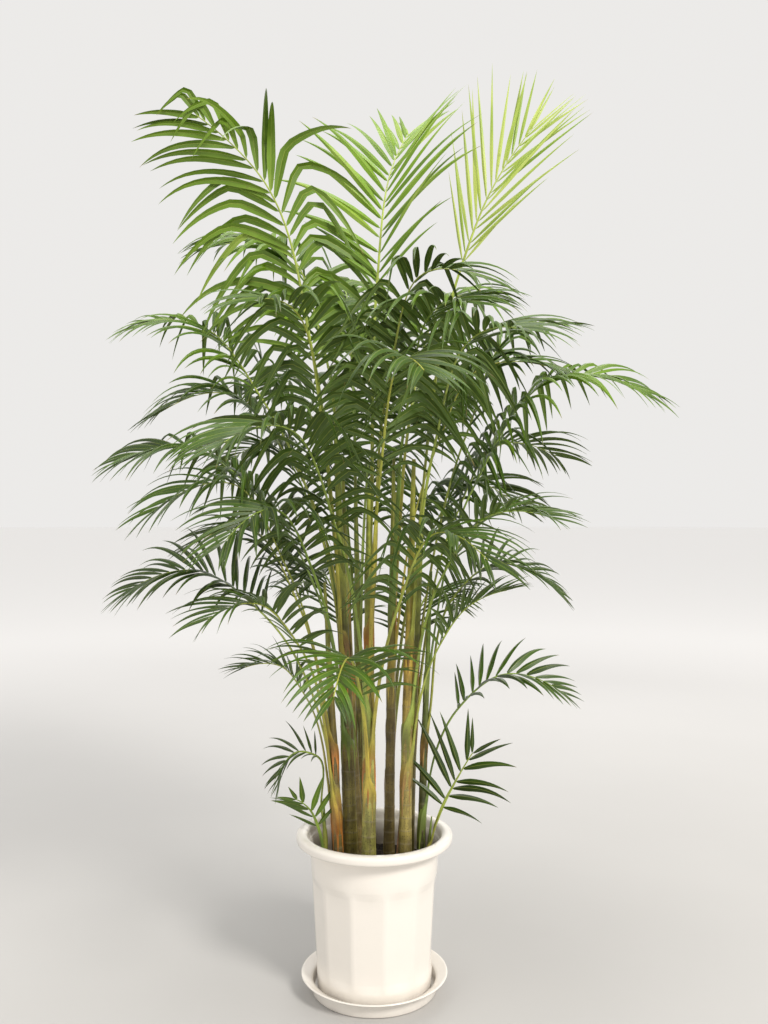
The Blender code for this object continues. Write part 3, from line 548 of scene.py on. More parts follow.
def stalk_material(looks):
    """Waxy stalks: their colour in the tone, with long streaks, specks and a dull bloom."""

    def build(nodes):
        streak = nodes.noise(nodes.stretched(nodes.pattern(), (9.0, 22.0, 1.0)), 1.0, 4.0, 0.6)
        light = nodes.ranged(streak, 0.25, 0.75, 0.72, 1.25)
        shade = nodes.scaled(nodes.stored("tone", "Color"), light)
        marks = mottled(nodes, nodes.spot(), shade, looks.cane_speck, 26.0, 420.0, 0.35, 0.55)
        rough = nodes.ranged(marks["Patches"], 0.2, 0.8, 0.30, 0.50)
        relief = bump(nodes, streak, 0.35, 0.0006)
        return {"Base Color": marks["Colour"], "Roughness": rough, "Normal": relief}

    return made_once("frond_stalk", (0.25, 0.29, 0.05), build)


def cane_material(name, looks, dry):
    """Ringed cane skin: its colour in the tone, leaf scars, streaks, and spots and flaky husk that
    grow with age."""

    def build(nodes):
        spot = nodes.spot()
        scar, age = nodes.stored("scar"), nodes.stored("age")
        streak = nodes.noise(nodes.stretched(nodes.pattern(), (22.0, 9.0, 1.0)), 1.0, 4.0, 0.62)
        light = nodes.ranged(streak, 0.25, 0.75, 0.66, 1.28)
        shade = nodes.scaled(nodes.stored("tone", "Color"), light)
        share = nodes.times(age, 0.85)
        marks = mottled(nodes, spot, shade, looks.cane_speck, 38.0, 330.0, 0.65, share)
        scaly = nodes.add("ShaderNodeTexVoronoi", {"Vector": spot, "Scale": 210.0})
        spots = nodes.times(nodes.ranged(scaly.outputs["Distance"], 0.16, 0.24, 0.7, 0.0), age)
        colour = nodes.mix(spots, marks["Colour"], opaque(looks.cane_speck))
        flakes = nodes.noise(nodes.stretched(spot, (1.0, 1.0, 0.35)), 70.0, 4.0)
        crust = nodes.times(nodes.ranged(flakes, 0.5, 0.66), age, 0.55)
        colour = nodes.mix(crust, colour, opaque(looks.cane_husk))
        colour = nodes.mix(nodes.times(scar, 0.45), colour, opaque(looks.cane_scar))
        rough = nodes.ranged(marks["Patches"], 0.2, 0.8, 0.34, 0.52)
        rough = nodes.maths("ADD", rough, nodes.times(crust, 0.6))
        if dry:
            rough = nodes.maths("ADD", rough, 0.3)
        relief = nodes.maths("ADD", streak, nodes.times(crust, 1.5))
        return {"Base Color": colour, "Roughness": rough, "Normal": bump(nodes, relief, 0.45, 0.0012)}

    return made_once(name, (0.4, 0.2, 0.1) if dry else (0.2, 0.18, 0.04), build)


def pot_stain(nodes, reach, height, cloud):
    """Soil splashed up the pot's inside above the soil, and dust at its foot."""
    inside = nodes.ranged(reach, RIM_INNER_RADIUS - 0.004, RIM_INNER_RADIUS - 0.001, 1.0, 0.0)
    high = nodes.ranged(height, SOIL_TOP - 0.004, SOIL_TOP + 0.060, 1.0, 0.30)
    body = nodes.ranged(reach, 0.1, 0.122, 0.0, 1.0)
    upper = nodes.ranged(height, SOIL_TOP - 0.02, SOIL_TOP - 0.01, 0.0, 1.0)
    patchy = nodes.ranged(cloud, 0.2, 0.7, 0.45, 0.85)
    stain = nodes.times(inside, high, body, upper, patchy, nodes.stored("inner"))
    return stain, nodes.ranged(height, 0.01, 0.05, 0.20, 0.0)


def saucer_stain(nodes, reach, height, cloud):
    """Dust that has settled in the trough and at the saucer's foot."""
    stain = nodes.ranged(reach, 0.100, 0.121, 0.22, 0.05)
    stain = nodes.times(stain, nodes.ranged(cloud, 0.35, 0.75, 0.0, 1.0))
    return stain, nodes.ranged(height, 0.0, 0.010, 0.22, 0.0)


def plastic_material(name, looks, soiled):
    """Glossy moulded plastic: faint unevenness, scuffs, and dust or soil stain where soiled."""

    def build(nodes):
        spot = nodes.spot()
        marks = mottled(nodes, spot, opaque(looks.white), looks.stain, 7.0, 160.0, 0.02, 0.015)
        reach = nodes.length(nodes.stretched(spot, (1.0, 1.0, 0.0)))
        cloud = nodes.noise(spot, 34.0, 4.0)
        stain, foot = soiled(nodes, reach, nodes.separated(spot)["Z"], cloud)
        foot = nodes.times(foot, nodes.ranged(cloud, 0.3, 0.7, 0.2, 1.0))
        dirt = nodes.maths("ADD", stain, foot, clamp=True)
        colour = nodes.mix(dirt, marks["Colour"], opaque(looks.stain))
        scuff = nodes.noise(spot, 46.0, 5.0, 0.7)
        rough = nodes.ranged(scuff, 0.45, 0.8, looks.pot_gloss, looks.pot_gloss + 0.09)
        rough = nodes.maths("ADD", rough, nodes.times(dirt, 0.5))
        grain = nodes.times(nodes.noise(spot, 900.0, 1.0), 0.03)
        relief = nodes.maths("ADD", nodes.noise(spot, 22.0, 2.0), grain)
        return {"Base Color": colour, "Roughness": rough, "Normal": bump(nodes, relief, 0.06, 0.004)}

    return made_once(name, looks.white, build)


def soil_material(looks):
    """Crumbly dark potting soil with paler fibres."""

    def build(nodes):
        spot = nodes.spot()
        marks = mottled(nodes, spot, opaque(looks.soil), looks.soil_fibre, 60.0, 260.0, 1.1, 0.7)
        damp = nodes.ranged(nodes.noise(spot, 18.0, 3.0), 0.35, 0.65, 0.0, 0.6)
        colour = nodes.mix(damp, marks["Colour"], opaque(looks.soil_damp))
        rough = nodes.ranged(damp, 0.0, 0.6, 0.95, 0.7)
        clods = bump(nodes, nodes.noise(spot, 240.0, 5.0, 0.7), 0.8, 0.003)
        return {"Base Color": colour, "Roughness": rough, "Normal": clods}

    return made_once("potting_soil", looks.soil, build)


def floor_material(looks):
    """A pale floor whose colour is painted light: darker by the plant, where the lamps light it most, and
    lighter away from it, where their light falls off, so that it meets the air without a line.
    """

    def build(nodes):
        spot = nodes.spot()
        cloud = nodes.ranged(nodes.noise(spot, 1.3, 3.0), 0.3, 0.7, 0.0, 1.0)
        darker = tuple(0.97 * x for x in looks.floor)
        near = nodes.mix(cloud, opaque(darker), opaque(looks.floor))
        # painted light: the floor's colour rises away from the plant in place of the lamps' light that
        # falls off there
        away = nodes.ranged(nodes.length(spot), 0.6, 6.2, 0.0, 1.0)
        return {"Base Color": nodes.mix(away, near, opaque(looks.floor_far_painted_light))}

    return made_once("studio_floor", looks.floor, build, (("Roughness", 0.8),))


# ---------------------------------------------------------------- pot, saucer and soil

AROUND = 144


def start_piece():
    if bpy.context.mode != "OBJECT":
        bpy.ops.object.mode_set(mode="OBJECT")
    bpy.ops.object.select_all(action="DESELECT")


def turned_piece(name, levels, closed):
    """A round piece drawn up from a circle through levels of (radius, height): extruded, scaled and
    moved level by level, then closed into a loop, or drawn to its middle at both ends."""
    start_piece()
    radius, height = levels[0]
    bpy.ops.mesh.primitive_circle_add(
        vertices=AROUND, radius=radius, fill_type="NOTHING", location=(0, 0, height)
    )
    item = bpy.context.object
    item.name = name
    item.data.name = name
    bpy.ops.object.transform_apply(location=True, rotation=True, scale=True)
    bpy.ops.object.mode_set(mode="EDIT")
    bpy.ops.mesh.select_all(action="SELECT")
    if not closed:
        bpy.ops.mesh.extrude_region_move()
        bpy.ops.mesh.merge(type="CENTER")
        bpy.ops.object.mode_set(mode="OBJECT")
        for vert in item.data.vertices:
            vert.select = vert.co.xy.length > radius / 2
        bpy.ops.object.mode_set(mode="EDIT")
        bpy.ops.mesh.select_mode(type="VERT")
    for (before, low), (after, high) in zip(levels, levels[1:]):
        bpy.ops.mesh.extrude_region_move(
            TRANSFORM_OT_translate={"value": (0.0, 0.0, high - low)}
        )
        share = after / before
        bpy.ops.transform.resize(value=(share, share, 1.0), center_override=(0.0, 0.0, high))
    if closed:
        bpy.ops.mesh.select_all(action="SELECT")
        bpy.ops.mesh.remove_doubles(threshold=0.00005)
    else:
        bpy.ops.mesh.extrude_region_move()
        bpy.ops.mesh.merge(type="CENTER")
    bpy.ops.mesh.select_all(action="SELECT")
    bpy.ops.mesh.normals_make_consistent(inside=False)
    bpy.ops.object.mode_set(mode="OBJECT")
    return item


def finish_turned(item, material, angle, round_by=0.0):
    if round_by:
        bevel = item.modifiers.new("Rounded", "BEVEL")
        bevel.width = round_by
        bevel.segments = 2
        bevel.limit_method = "ANGLE"
        bevel.angle_limit = math.radians(angle)
        bpy.ops.object.modifier_apply(modifier=bevel.name)
    bpy.ops.object.shade_smooth_by_angle(angle=math.radians(angle))
    item.data.materials.append(material)


def make_saucer(looks):
    lip, wall, thick = SAUCER_LIP_RADIUS, SAUCER_WALL_RADIUS, SAUCER_WALL
    flare = SAUCER_HEIGHT - (lip - wall) * 0.55
    levels = [
        (0.010, 0.0012), (0.030, 0.0012), (0.032, 0.0), (wall - 0.0080, 0.0),
        (wall - 0.0030, 0.0003), (wall - 0.0008, 0.0014), (wall - 0.0001, 0.0036),
        (wall, flare - thick - 0.002), (wall + 0.0012, flare - thick + 0.0006),
        (lip - 0.0052, SAUCER_HEIGHT - 0.0052), (lip - 0.0014, SAUCER_HEIGHT - 0.0034),
        (lip - 0.0001, SAUCER_HEIGHT - 0.0020), (lip - 0.0004, SAUCER_HEIGHT - 0.0008),
        (lip - 0.0013, SAUCER_HEIGHT - 0.0001), (lip - 0.0024, SAUCER_HEIGHT - 0.0002),
        (lip - 0.0060, SAUCER_HEIGHT - 0.0016), (wall + 0.0030, flare + 0.0026),
        (wall - thick + 0.0008, flare + 0.0006), (wall - thick, flare - 0.0014),
        (wall - thick - 0.0002, SAUCER_FLOOR + 0.0050), (wall - thick - 0.0010, 0.0056),
        (wall - thick - 0.0032, SAUCER_FLOOR + 0.0003), (wall - 0.0100, SAUCER_FLOOR),
        (0.095, SAUCER_FLOOR), (0.0935, SAUCER_FLOOR + 0.0002), (0.060, SAUCER_FLOOR + 0.0002),
        (0.010, SAUCER_FLOOR + 0.0002),
    ]
    item = turned_piece("saucer_dish", levels, closed=False)
    finish_turned(item, plastic_material("saucer_white", looks, saucer_stain), 50)
    return item


def body_radius(height):
    share = (height - POT_BASE) / (RIM_TOP - RIM_BAND - POT_BASE)
    return BODY_FOOT_RADIUS + (BODY_TOP_RADIUS - BODY_FOOT_RADIUS) * share


def flatness(height):
    rise = (height - PANEL_LOW) / PANEL_FADE + 1.0
    fall = (PANEL_HIGH - height) / PANEL_FADE + 1.0
    return max(0.0, min(1.0, rise, fall))


def make_pot(looks):
    """The pot's outside, rim and inside in one loop, then its sides pressed to flat panels."""
    low, band = POT_BASE, RIM_TOP - RIM_BAND
    sides = [low + 0.0035, 0.022, 0.034]
    sides += [PANEL_LOW - PANEL_FADE + PANEL_FADE * i / 6 for i in range(7)]
    sides += [PANEL_LOW + (PANEL_HIGH - PANEL_LOW) * i / 6 for i in range(1, 6)]
    sides += [PANEL_HIGH + PANEL_FADE * i / 6 for i in range(7)]
    sides += [0.250, 0.268, band - 0.0060]
    outside = [(DRAIN_RADIUS, low + 0.0030), (0.034, low + 0.0030), (0.036, low)]
    outside += [(BODY_FOOT_RADIUS - 0.0030, low), (BODY_FOOT_RADIUS - 0.0008, low + 0.0010)]
    outside += [(body_radius(z), z) for z in sides]
    rim = [
        (body_radius(band) + 0.0006, band - 0.0020), (body_radius(band) + 0.0030, band),
        (RIM_RADIUS - 0.0046, band), (RIM_RADIUS - 0.0030, band + 0.0004),
        (RIM_RADIUS - 0.0012, band + 0.0020), (RIM_RADIUS - 0.0006, band + 0.0050),
        (RIM_RADIUS - 0.0001, RIM_TOP - 0.0080), (RIM_RADIUS - 0.0003, RIM_TOP - 0.0050),
        (RIM_RADIUS - 0.0016, RIM_TOP - 0.0026), (RIM_RADIUS - 0.0040, RIM_TOP - 0.0009),
        (RIM_RADIUS - 0.0080, RIM_TOP - 0.0001), (RIM_RADIUS - 0.0130, RIM_TOP),
        (RIM_INNER_RADIUS + 0.0056, RIM_TOP - 0.0008), (RIM_INNER_RADIUS + 0.0020, RIM_TOP - 0.0030),
        (RIM_INNER_RADIUS + 0.0003, RIM_TOP - 0.0065), (RIM_INNER_RADIUS - 0.0006, RIM_TOP - 0.0120),
        (RIM_INNER_RADIUS - 0.0030, band - 0.0040), (body_radius(band) - POT_WALL, band - 0.0100),
    ]
    inside = [(body_radius(z) - POT_WALL, z) for z in sides[::-1][1:-1]]
    inside += [(BODY_FOOT_RADIUS - 2 * POT_WALL, low + POT_FLOOR), (DRAIN_RADIUS, low + POT_FLOOR)]
    levels = outside + rim + inside + [outside[0]]
    item = turned_piece("pot_body", levels, closed=True)
    half = math.pi / PANELS
    inner = item.data.attributes.new("inner", "FLOAT", "POINT")
    for vert in item.data.vertices:
        x, y, z = vert.co
        reach = math.hypot(x, y)
        wall = body_radius(z)
        inner.data[vert.index].value = float(reach < wall - POT_WALL / 2 or z > band + 0.001)
        if reach < wall - 2 * POT_WALL or z > band - 0.01:
            continue
        turn = (math.atan2(y, x) - math.radians(PANEL_TURN)) % (2 * half) - half
        straight = math.cos(half) / math.cos(turn)
        share = min(straight, 0.9975 + 0.0004 * math.cos(math.pi * turn / half))
        scale = 1 + (share - 1) * flatness(z)
        vert.co = (x * scale, y * scale, z)
    finish_turned(item, plastic_material("pot_white", looks, pot_stain), 38)
    for edge in item.data.edges:
        ends = [item.data.vertices[i].co for i in edge.vertices]
        turns = [(math.atan2(p.y, p.x) - math.radians(PANEL_TURN)) % (2 * half) for p in ends]
        corner = all(min(turn, 2 * half - turn) < 0.001 for turn in turns)
        if corner and min(flatness(p.z) for p in ends) > 0.15 and ends[0].z < band - 0.03:
            edge.use_edge_sharp = True
    return item


def make_soil(looks):
    """The soil block with a rough crust: noise drawn from two cloud textures, and low mounds
    where the canes come up."""
    top = SOIL_TOP - 0.003
    radius = body_radius(SOIL_TOP) - POT_WALL - 0.0006
    foot = POT_BASE + POT_FLOOR + FIT_GAP
    levels = [(0.02, foot), (BODY_FOOT_RADIUS - 0.012, foot), (0.107, 0.040), (0.1145, 0.20)]
    levels += [(radius - 0.0010, top - 0.010), (radius, top)]
    levels += [(radius * (1 - i / 34), top) for i in range(1, 34)]
    item = turned_piece("soil_bed", levels, closed=False)
    crust = item.vertex_groups.new(name="crust")
    crust.add([v.index for v in item.data.vertices if v.co.z > top - 0.001], 1.0, "REPLACE")
    for label, size, strength, depth in (("clods", 0.016, 0.0070, 2), ("grit", 0.005, 0.0028, 1)):
        clouds = bpy.data.textures.new("soil_" + label, "CLOUDS")
        clouds.noise_scale = size
        clouds.noise_depth = depth
        rough = item.modifiers.new(label, "DISPLACE")
        rough.texture = clouds
        rough.texture_coords = "LOCAL"
        rough.direction = "Z"
        rough.strength = strength
        rough.vertex_group = "crust"
        bpy.ops.object.modifier_apply(modifier=rough.name)
    for vert in item.data.vertices:
        if vert.co.z > top - 0.006:
            near = min((vert.co.xy - cane_point(n, 0.0).xy).length / CANES[n][3] for n in CANES)
            edge = smooth(radius, radius - 0.008, vert.co.xy.length)
            vert.co.z += (0.0050 * math.exp(-((near / 2.2) ** 2)) - 0.002) * edge
            vert.co.z = min(vert.co.z, SOIL_TOP + 0.006)
    finish_turned(item, soil_material(looks), 60)
    item.vertex_groups.clear()
    return item


def crumb_shape(name, rand):
    """One crumb of soil: a small cube, split and rounded, then roughened, its points moved in or out one by
    one.
    """
    start_piece()
    bpy.ops.mesh.primitive_cube_add(size=1.0)
    item = bpy.context.object
    item.name = name
    bpy.ops.object.mode_set(mode="EDIT")
    bpy.ops.mesh.select_all(action="SELECT")
    bpy.ops.mesh.subdivide(number_cuts=1)
    bpy.ops.transform.tosphere(value=0.75)
    bpy.ops.object.mode_set(mode="OBJECT")
    for vert in item.data.vertices:
        vert.co *= rand.uniform(0.75, 1.2)
    return item


def make_crumbs(looks, settings):
    """Crumbs of several sizes strewn over the soil, joined into one piece."""
    rand = random.Random("crumbs")
    model = crumb_shape("soil_crumb", rand)
    radius = body_radius(SOIL_TOP) - POT_WALL - 0.006
    copies = []
    for index in range(settings.crumbs):
        reach = radius * math.sqrt(rand.uniform(0.0, 0.97))
        spot = direction(rand.uniform(0, 360)) * reach
        size = rand.choice((0.0022, 0.003, 0.004, 0.0055, 0.008))
        flat = Vector((rand.uniform(0.7, 1.6), rand.uniform(0.6, 1.1), rand.uniform(0.35, 0.8)))
        turn = Quaternion((0, 0, 1), rand.uniform(0, 6.28)) @ Quaternion((1, 0, 0), rand.uniform(-0.5, 0.5))
        copy = bpy.data.objects.new(f"crumb_{index}", model.data.copy())
        bpy.context.scene.collection.objects.link(copy)
        for vert in copy.data.vertices:
            shaped = Vector((vert.co.x * flat.x, vert.co.y * flat.y, vert.co.z * flat.z)) * size
            vert.co = turn @ shaped + Vector((spot.x, spot.y, SOIL_TOP + rand.uniform(-0.0004, 0.0004)))
        copies.append(copy)
    start_piece()
    bpy.data.objects.remove(model)
    for copy in copies:
        copy.select_set(True)
    bpy.context.view_layer.objects.active = copies[0]
    bpy.ops.object.join()
    item = bpy.context.object
    item.name = "soil_crumbs"
    item.data.name = "soil_crumbs"
    bpy.ops.object.shade_smooth_by_angle(angle=math.radians(50))
    item.data.materials.append(soil_material(looks))
    return item


# ---------------------------------------------------------------- canes


def soil_radius(height):
    return body_radius(height) - POT_WALL - FIT_GAP / math.cos(math.pi / PANELS)


def cane_point(name, height):
    heading, share, top, radius, lean_heading, lean, bend, _ = CANES[name]
    free = soil_radius(SOIL_TOP) - SOIL_EDGE - radius * FLARE
    foot = direction(heading) * share * free
    part = max(0.0, height / top)
    return foot + direction(lean_heading) * lean * part**bend + Vector((0, 0, SOIL_TOP + height))


def cane_radius(name, height):
    part = min(1.0, max(0.0, height / CANES[name][2]))
    for (low, wide), (high, narrow) in zip(CANE_TAPER, CANE_TAPER[1:]):
        if part <= high:
            return CANES[name][3] * (wide + (narrow - wide) * (part - low) / (high - low))
    return CANES[name][3] * CANE_TAPER[-1][1]


def make_cane(name, looks):
    """A cane with leaf scars ringed round its bare foot, a swollen sheath zone and a green top."""
    rand = random.Random(name)
    top = CANES[name][2]
    bare, sheathed, fresh = CANE_COLOURS[CANES[name][7]]
    dry = name == "dry_stalk"
    bare_top = top * (0.9 if dry else rand.uniform(0.36, 0.46))
    scars = []
    at, gap = rand.uniform(0.012, 0.026), rand.uniform(0.018, 0.026)
    while at < bare_top:
        scars.append(at)
        at += gap
        gap *= rand.uniform(1.03, 1.22)
    heights = {-ROOTED, top}
    heights |= {top * i / 110 for i in range(110)}
    for scar in scars:
        heights |= {scar + offset for offset in (-0.0026, -0.0013, 0.0, 0.0012, 0.0024, 0.004)}
    heights = sorted(h for h in heights if h <= top)
    sides = 12 if CANES[name][3] < 0.006 else 28
    wave = [rand.uniform(0, 6.28) for _ in range(4)]
    rings, tones, lengths, marks, ages = [], [], [], [], []
    for height in heights:
        radius = cane_radius(name, height)
        mark = max((math.exp(-(((height - s) / 0.0014) ** 2)) for s in scars), default=0.0)
        ledge = max((math.exp(-(((height - s + 0.004) / 0.004) ** 2)) for s in scars), default=0.0)
        radius *= 1 + 0.035 * mark + 0.025 * ledge
        radius *= 1 + 0.06 * math.exp(-(((height - bare_top) / 0.035) ** 2)) * (not dry)
        tilt = 0.0016 * math.sin(height * 40 + wave[0])
        ring = []
        for i in range(sides):
            angle = 360 * i / sides
            turn = math.radians(angle)
            bulge = 1 + 0.018 * math.sin(2 * turn + wave[1] + 6 * height)
            bulge += 0.012 * math.sin(3 * turn + wave[2] - 9 * height)
            bulge += 0.10 * smooth(0.012, -0.004, height) * (0.5 + 0.5 * math.sin(5 * turn + wave[3]))
            place = cane_point(name, height) + direction(angle) * radius * bulge
            place.z += tilt * math.sin(turn + wave[3]) * (0.0 < height < top - 0.004)
            ring.append(place)
        rings.append(ring)
        along = smooth(bare_top * 0.75, bare_top * 1.1, height)
        colour = mixed(mixed(bare, sheathed, along), fresh, smooth(bare_top * 1.2, top * 0.9, height))
        cloud = 1 + 0.16 * math.sin(height * 23 + wave[0]) + 0.10 * math.sin(height * 61 + wave[1])
        tones.append(tuple(c * cloud for c in colour))
        lengths.append(height + ROOTED)
        marks.append(mark)
        ages.append(1.0 if dry else 1.0 - 0.8 * smooth(bare_top * 0.8, bare_top * 1.35, height))
    skin = Skin()
    tube(skin, rings, tones, lengths, 0, (0.0, 0.0, 1.0, 1.0))
    style = "dry_stalk_skin" if dry else "cane_skin"
    item = skin.piece(name.replace("cane_", "ringed_cane_") if "cane" in name else name + "_stem",
                      [cane_material(style, looks, dry)], angle=70)
    for label, values in (("scar", marks), ("age", ages)):
        layer = item.data.attributes.new(label, "FLOAT", "POINT")
        spread = [value for value in values for _ in range(sides)] + [values[0], values[-1]]
        layer.data.foreach_set("value", spread)
    return item


# ---------------------------------------------------------------- fronds

CURVE_STEPS = 16
STALK_LEVELS = 54
SHEATH_LEVELS = 14
# A stalk's section from its left edge under to its right edge and back over its channelled top
UNDERSIDE = ((-1.0, 0.10), (-0.86, -0.52), (-0.40, -0.94), (0.40, -0.94), (0.86, -0.52), (1.0, 0.10))
TOPSIDE = ((0.74, 0.66), (0.30, 0.34), (-0.30, 0.34), (-0.74, 0.66))
# Leaflets: the fewest pairs and the least space between them; where the first and last stand, as
# shares of the neck and of the stalk; how far they stand off it and rise beside it, in degrees,
# falling from first to last; then their lengths and widths beside a full-grown one's
LEAST_PAIRS = 5
LEAST_SPACING = 0.0022
FIRST_AT = 1.01
LAST_AT = 0.998
LEAFLET_AWAY = (66, 40, 1.3)
LEAFLET_RISE = (26, 12)
FIRST_LENGTH = 0.66
FULL_FROM = 0.25
LAST_SHORTER = 0.58
LAST_NARROWER = 0.35
YOUNG_NARROWER = 0.55
# A leaflet that stands up creases and folds over on fronds older and larger than these
CREASED_BELOW = 0.64
CREASED_FROM = 0.2
# The part of the bake sheet's width that the leaflets share; the stalk has the rest
BLADES_ON_SHEET = 0.95
# Where along a leaflet its rings stand
BLADE_SHARES = (0.03, 0.09, 0.18, 0.28, 0.37, 0.46, 0.55, 0.64, 0.73, 0.82, 0.90, 0.96)


def through(points, start):
    """A smooth curve through points that leaves the first along start, as a fine polyline."""
    chords = [(b - a).length for a, b in zip(points, points[1:])]
    slopes = [start.normalized()]
    for i in range(1, len(points) - 1):
        before = (points[i] - points[i - 1]) / chords[i - 1]
        after = (points[i + 1] - points[i]) / chords[i]
        blend = chords[i - 1] / (chords[i - 1] + chords[i])
        slopes.append(before * (1 - blend) + after * blend)
    last = (points[-1] - points[-2]) / chords[-1]
    slopes.append(2 * last - slopes[-1])
    line = []
    for i, chord in enumerate(chords):
        for step in range(CURVE_STEPS):
            t = step / CURVE_STEPS
            near = (1 + 2 * t) * (1 - t) ** 2 * points[i] + t * (1 - t) ** 2 * chord * slopes[i]
            far = t**2 * (3 - 2 * t) * points[i + 1] - t**2 * (1 - t) * chord * slopes[i + 1]
            line.append(near + far)
    line.append(points[-1])
    return line


def frond_line(name):
    cane, height, heading, neck, crest, tip = FRONDS[name][:6]
    out = direction(heading)
    clear = cane_radius(cane, height) + STALK_THICKNESS / 2 + FIT_GAP
    base = cane_point(cane, height) + out * clear
    points = [base]
    for reach, level in (neck, crest, tip):
        at = base + out * reach
        points.append(Vector((at.x, at.y, SOIL_TOP + level)))
    lean = cane_point(cane, height + LEAVING_RISE) - cane_point(cane, height)
    start = Vector((0, 0, LEAVING_RISE)) + out * (max(0.0, lean.dot(out)) + LEAVING_REACH)
    return through(points, start)


class Stalk:
    """The middle line of a frond's stalk, asked for its frame and width at any share of it."""

    def __init__(self, name):
        _, _, self.heading, *_ = FRONDS[name]
        self.longest, self.roll, self.droop, self.spread, self.fresh = FRONDS[name][6:]
        self.broad = BROAD.get(name, 1.0)
        self.line = frond_line(name)
        self.lengths = [0.0]
        for a, b in zip(self.line, self.line[1:]):
            self.lengths.append(self.lengths[-1] + (b - a).length)
        self.length = self.lengths[-1]
        self.neck = self.lengths[CURVE_STEPS] / self.length
        self.across = Vector((0, 0, 1)).cross(direction(self.heading))

    def slope(self, i):
        low, high = max(0, i - 1), min(len(self.line) - 1, i + 1)
        return (self.line[high] - self.line[low]).normalized()

    def at(self, share):
        """Middle, direction along, side and up directions, and width, at a share of its length."""
        along = min(max(share, 0.0), 1.0) * self.length
        i = 0
        while i < len(self.line) - 2 and self.lengths[i + 1] < along:
            i += 1
        part = (along - self.lengths[i]) / (self.lengths[i + 1] - self.lengths[i])
        middle = self.line[i].lerp(self.line[i + 1], part)
        heading = self.slope(i).lerp(self.slope(i + 1), part).normalized()
        side = (self.across - heading * self.across.dot(heading)).normalized()
        turn = math.radians(self.roll) * max(0.0, min(1.0, share / self.neck))
        side = Quaternion(heading, turn) @ side
        width = STALK_WIDTH + (STALK_TIP_WIDTH - STALK_WIDTH) * share
        return middle, heading, side, heading.cross(side), width


def stalk_ring(stalk, share):
    """The stalk's section, channelled above, and ridged above between its leaflets."""
    middle, _, side, up, width = stalk.at(share)
    narrow = 1.0 - 0.35 * smooth(stalk.neck, 1.0, share)
    half = width / 2 * narrow
    thick = half * (0.62 + 0.16 * smooth(stalk.neck, 1.0, share))
    ridge = smooth(stalk.neck * 0.9, stalk.neck * 1.1, share)
    ring = []
    for x, y in UNDERSIDE + TOPSIDE:
        if abs(x) < 0.31:
            y += 0.62 * ridge
        ring.append(middle + side * (x * half) + up * (y * thick))
    return ring


def sheath_ring(stalk, cane, leaves, length, share):
    """The stalk's base below where it leaves the cane, wrapped round the cane; share 0 is low."""
    height = leaves - length * (1 - share)
    out = direction(stalk.heading)
    centre = cane_point(cane, max(0.0, height))
    radius = cane_radius(cane, max(0.0, height))
    side = Vector((0, 0, 1)).cross(out)
    reach = math.radians(172 - 62 * smooth(0.25, 0.95, share))
    outer = radius + 0.0004 + 0.0016 * smooth(0.0, 0.5, share)
    inner = radius - 0.0010
    spots = [(reach * x, outer) for x in (-1.0, -0.66, -0.24, 0.24, 0.66, 1.0)]
    spots += [(reach * x, inner) for x in (0.78, 0.26, -0.26, -0.78)]
    wrapped = [centre + (out * math.cos(a) + side * math.sin(a)) * r for a, r in spots]
    free = stalk_ring(stalk, 0.0)
    lift = Vector((0, 0, SOIL_TOP + height - stalk.line[0].z))
    slide = centre - cane_point(cane, leaves)
    loose = smooth(0.60, 1.0, share)
    return [a.lerp(b + lift + Vector((slide.x, slide.y, 0.0)), loose) for a, b in zip(wrapped, free)]


def stalk_skin(skin, name, stalk, rand):
    cane, leaves = FRONDS[name][:2]
    length = min(leaves - 0.008, 0.10 + 0.06 * rand.random())
    sheath, green = STALK_COLOURS[rand.randrange(len(STALK_COLOURS))]
    if stalk.fresh > 0.6:
        sheath, green = (0.25, 0.26, 0.045), (0.33, 0.36, 0.055)
    tip_colour = mixed(green, (0.30, 0.42, 0.06), 0.5)
    rings, tones, lengths = [], [], []
    for i in range(SHEATH_LEVELS):
        share = i / SHEATH_LEVELS
        rings.append(sheath_ring(stalk, cane, leaves, length, share))
        cloud = 1 + 0.18 * math.sin(9 * share + leaves * 40)
        tones.append(tuple(c * cloud for c in mixed(sheath, green, smooth(0.35, 1.0, share))))
        lengths.append(length * share)
    for i in range(STALK_LEVELS):
        share = i / (STALK_LEVELS - 1)
        rings.append(stalk_ring(stalk, share))
        tones.append(mixed(green, tip_colour, smooth(0.1, stalk.neck, share)))
        lengths.append(length + stalk.length * share)
    tube(skin, rings, tones, lengths, 1, (0.955, 0.0, 0.998, 1.0))


def blade_width(share):
    """A leaflet's width along it, beside its widest: narrow at its base, long drawn to its tip."""
    return min(1.0, 0.30 + 2.9 * share) * (1 - share**2.1)


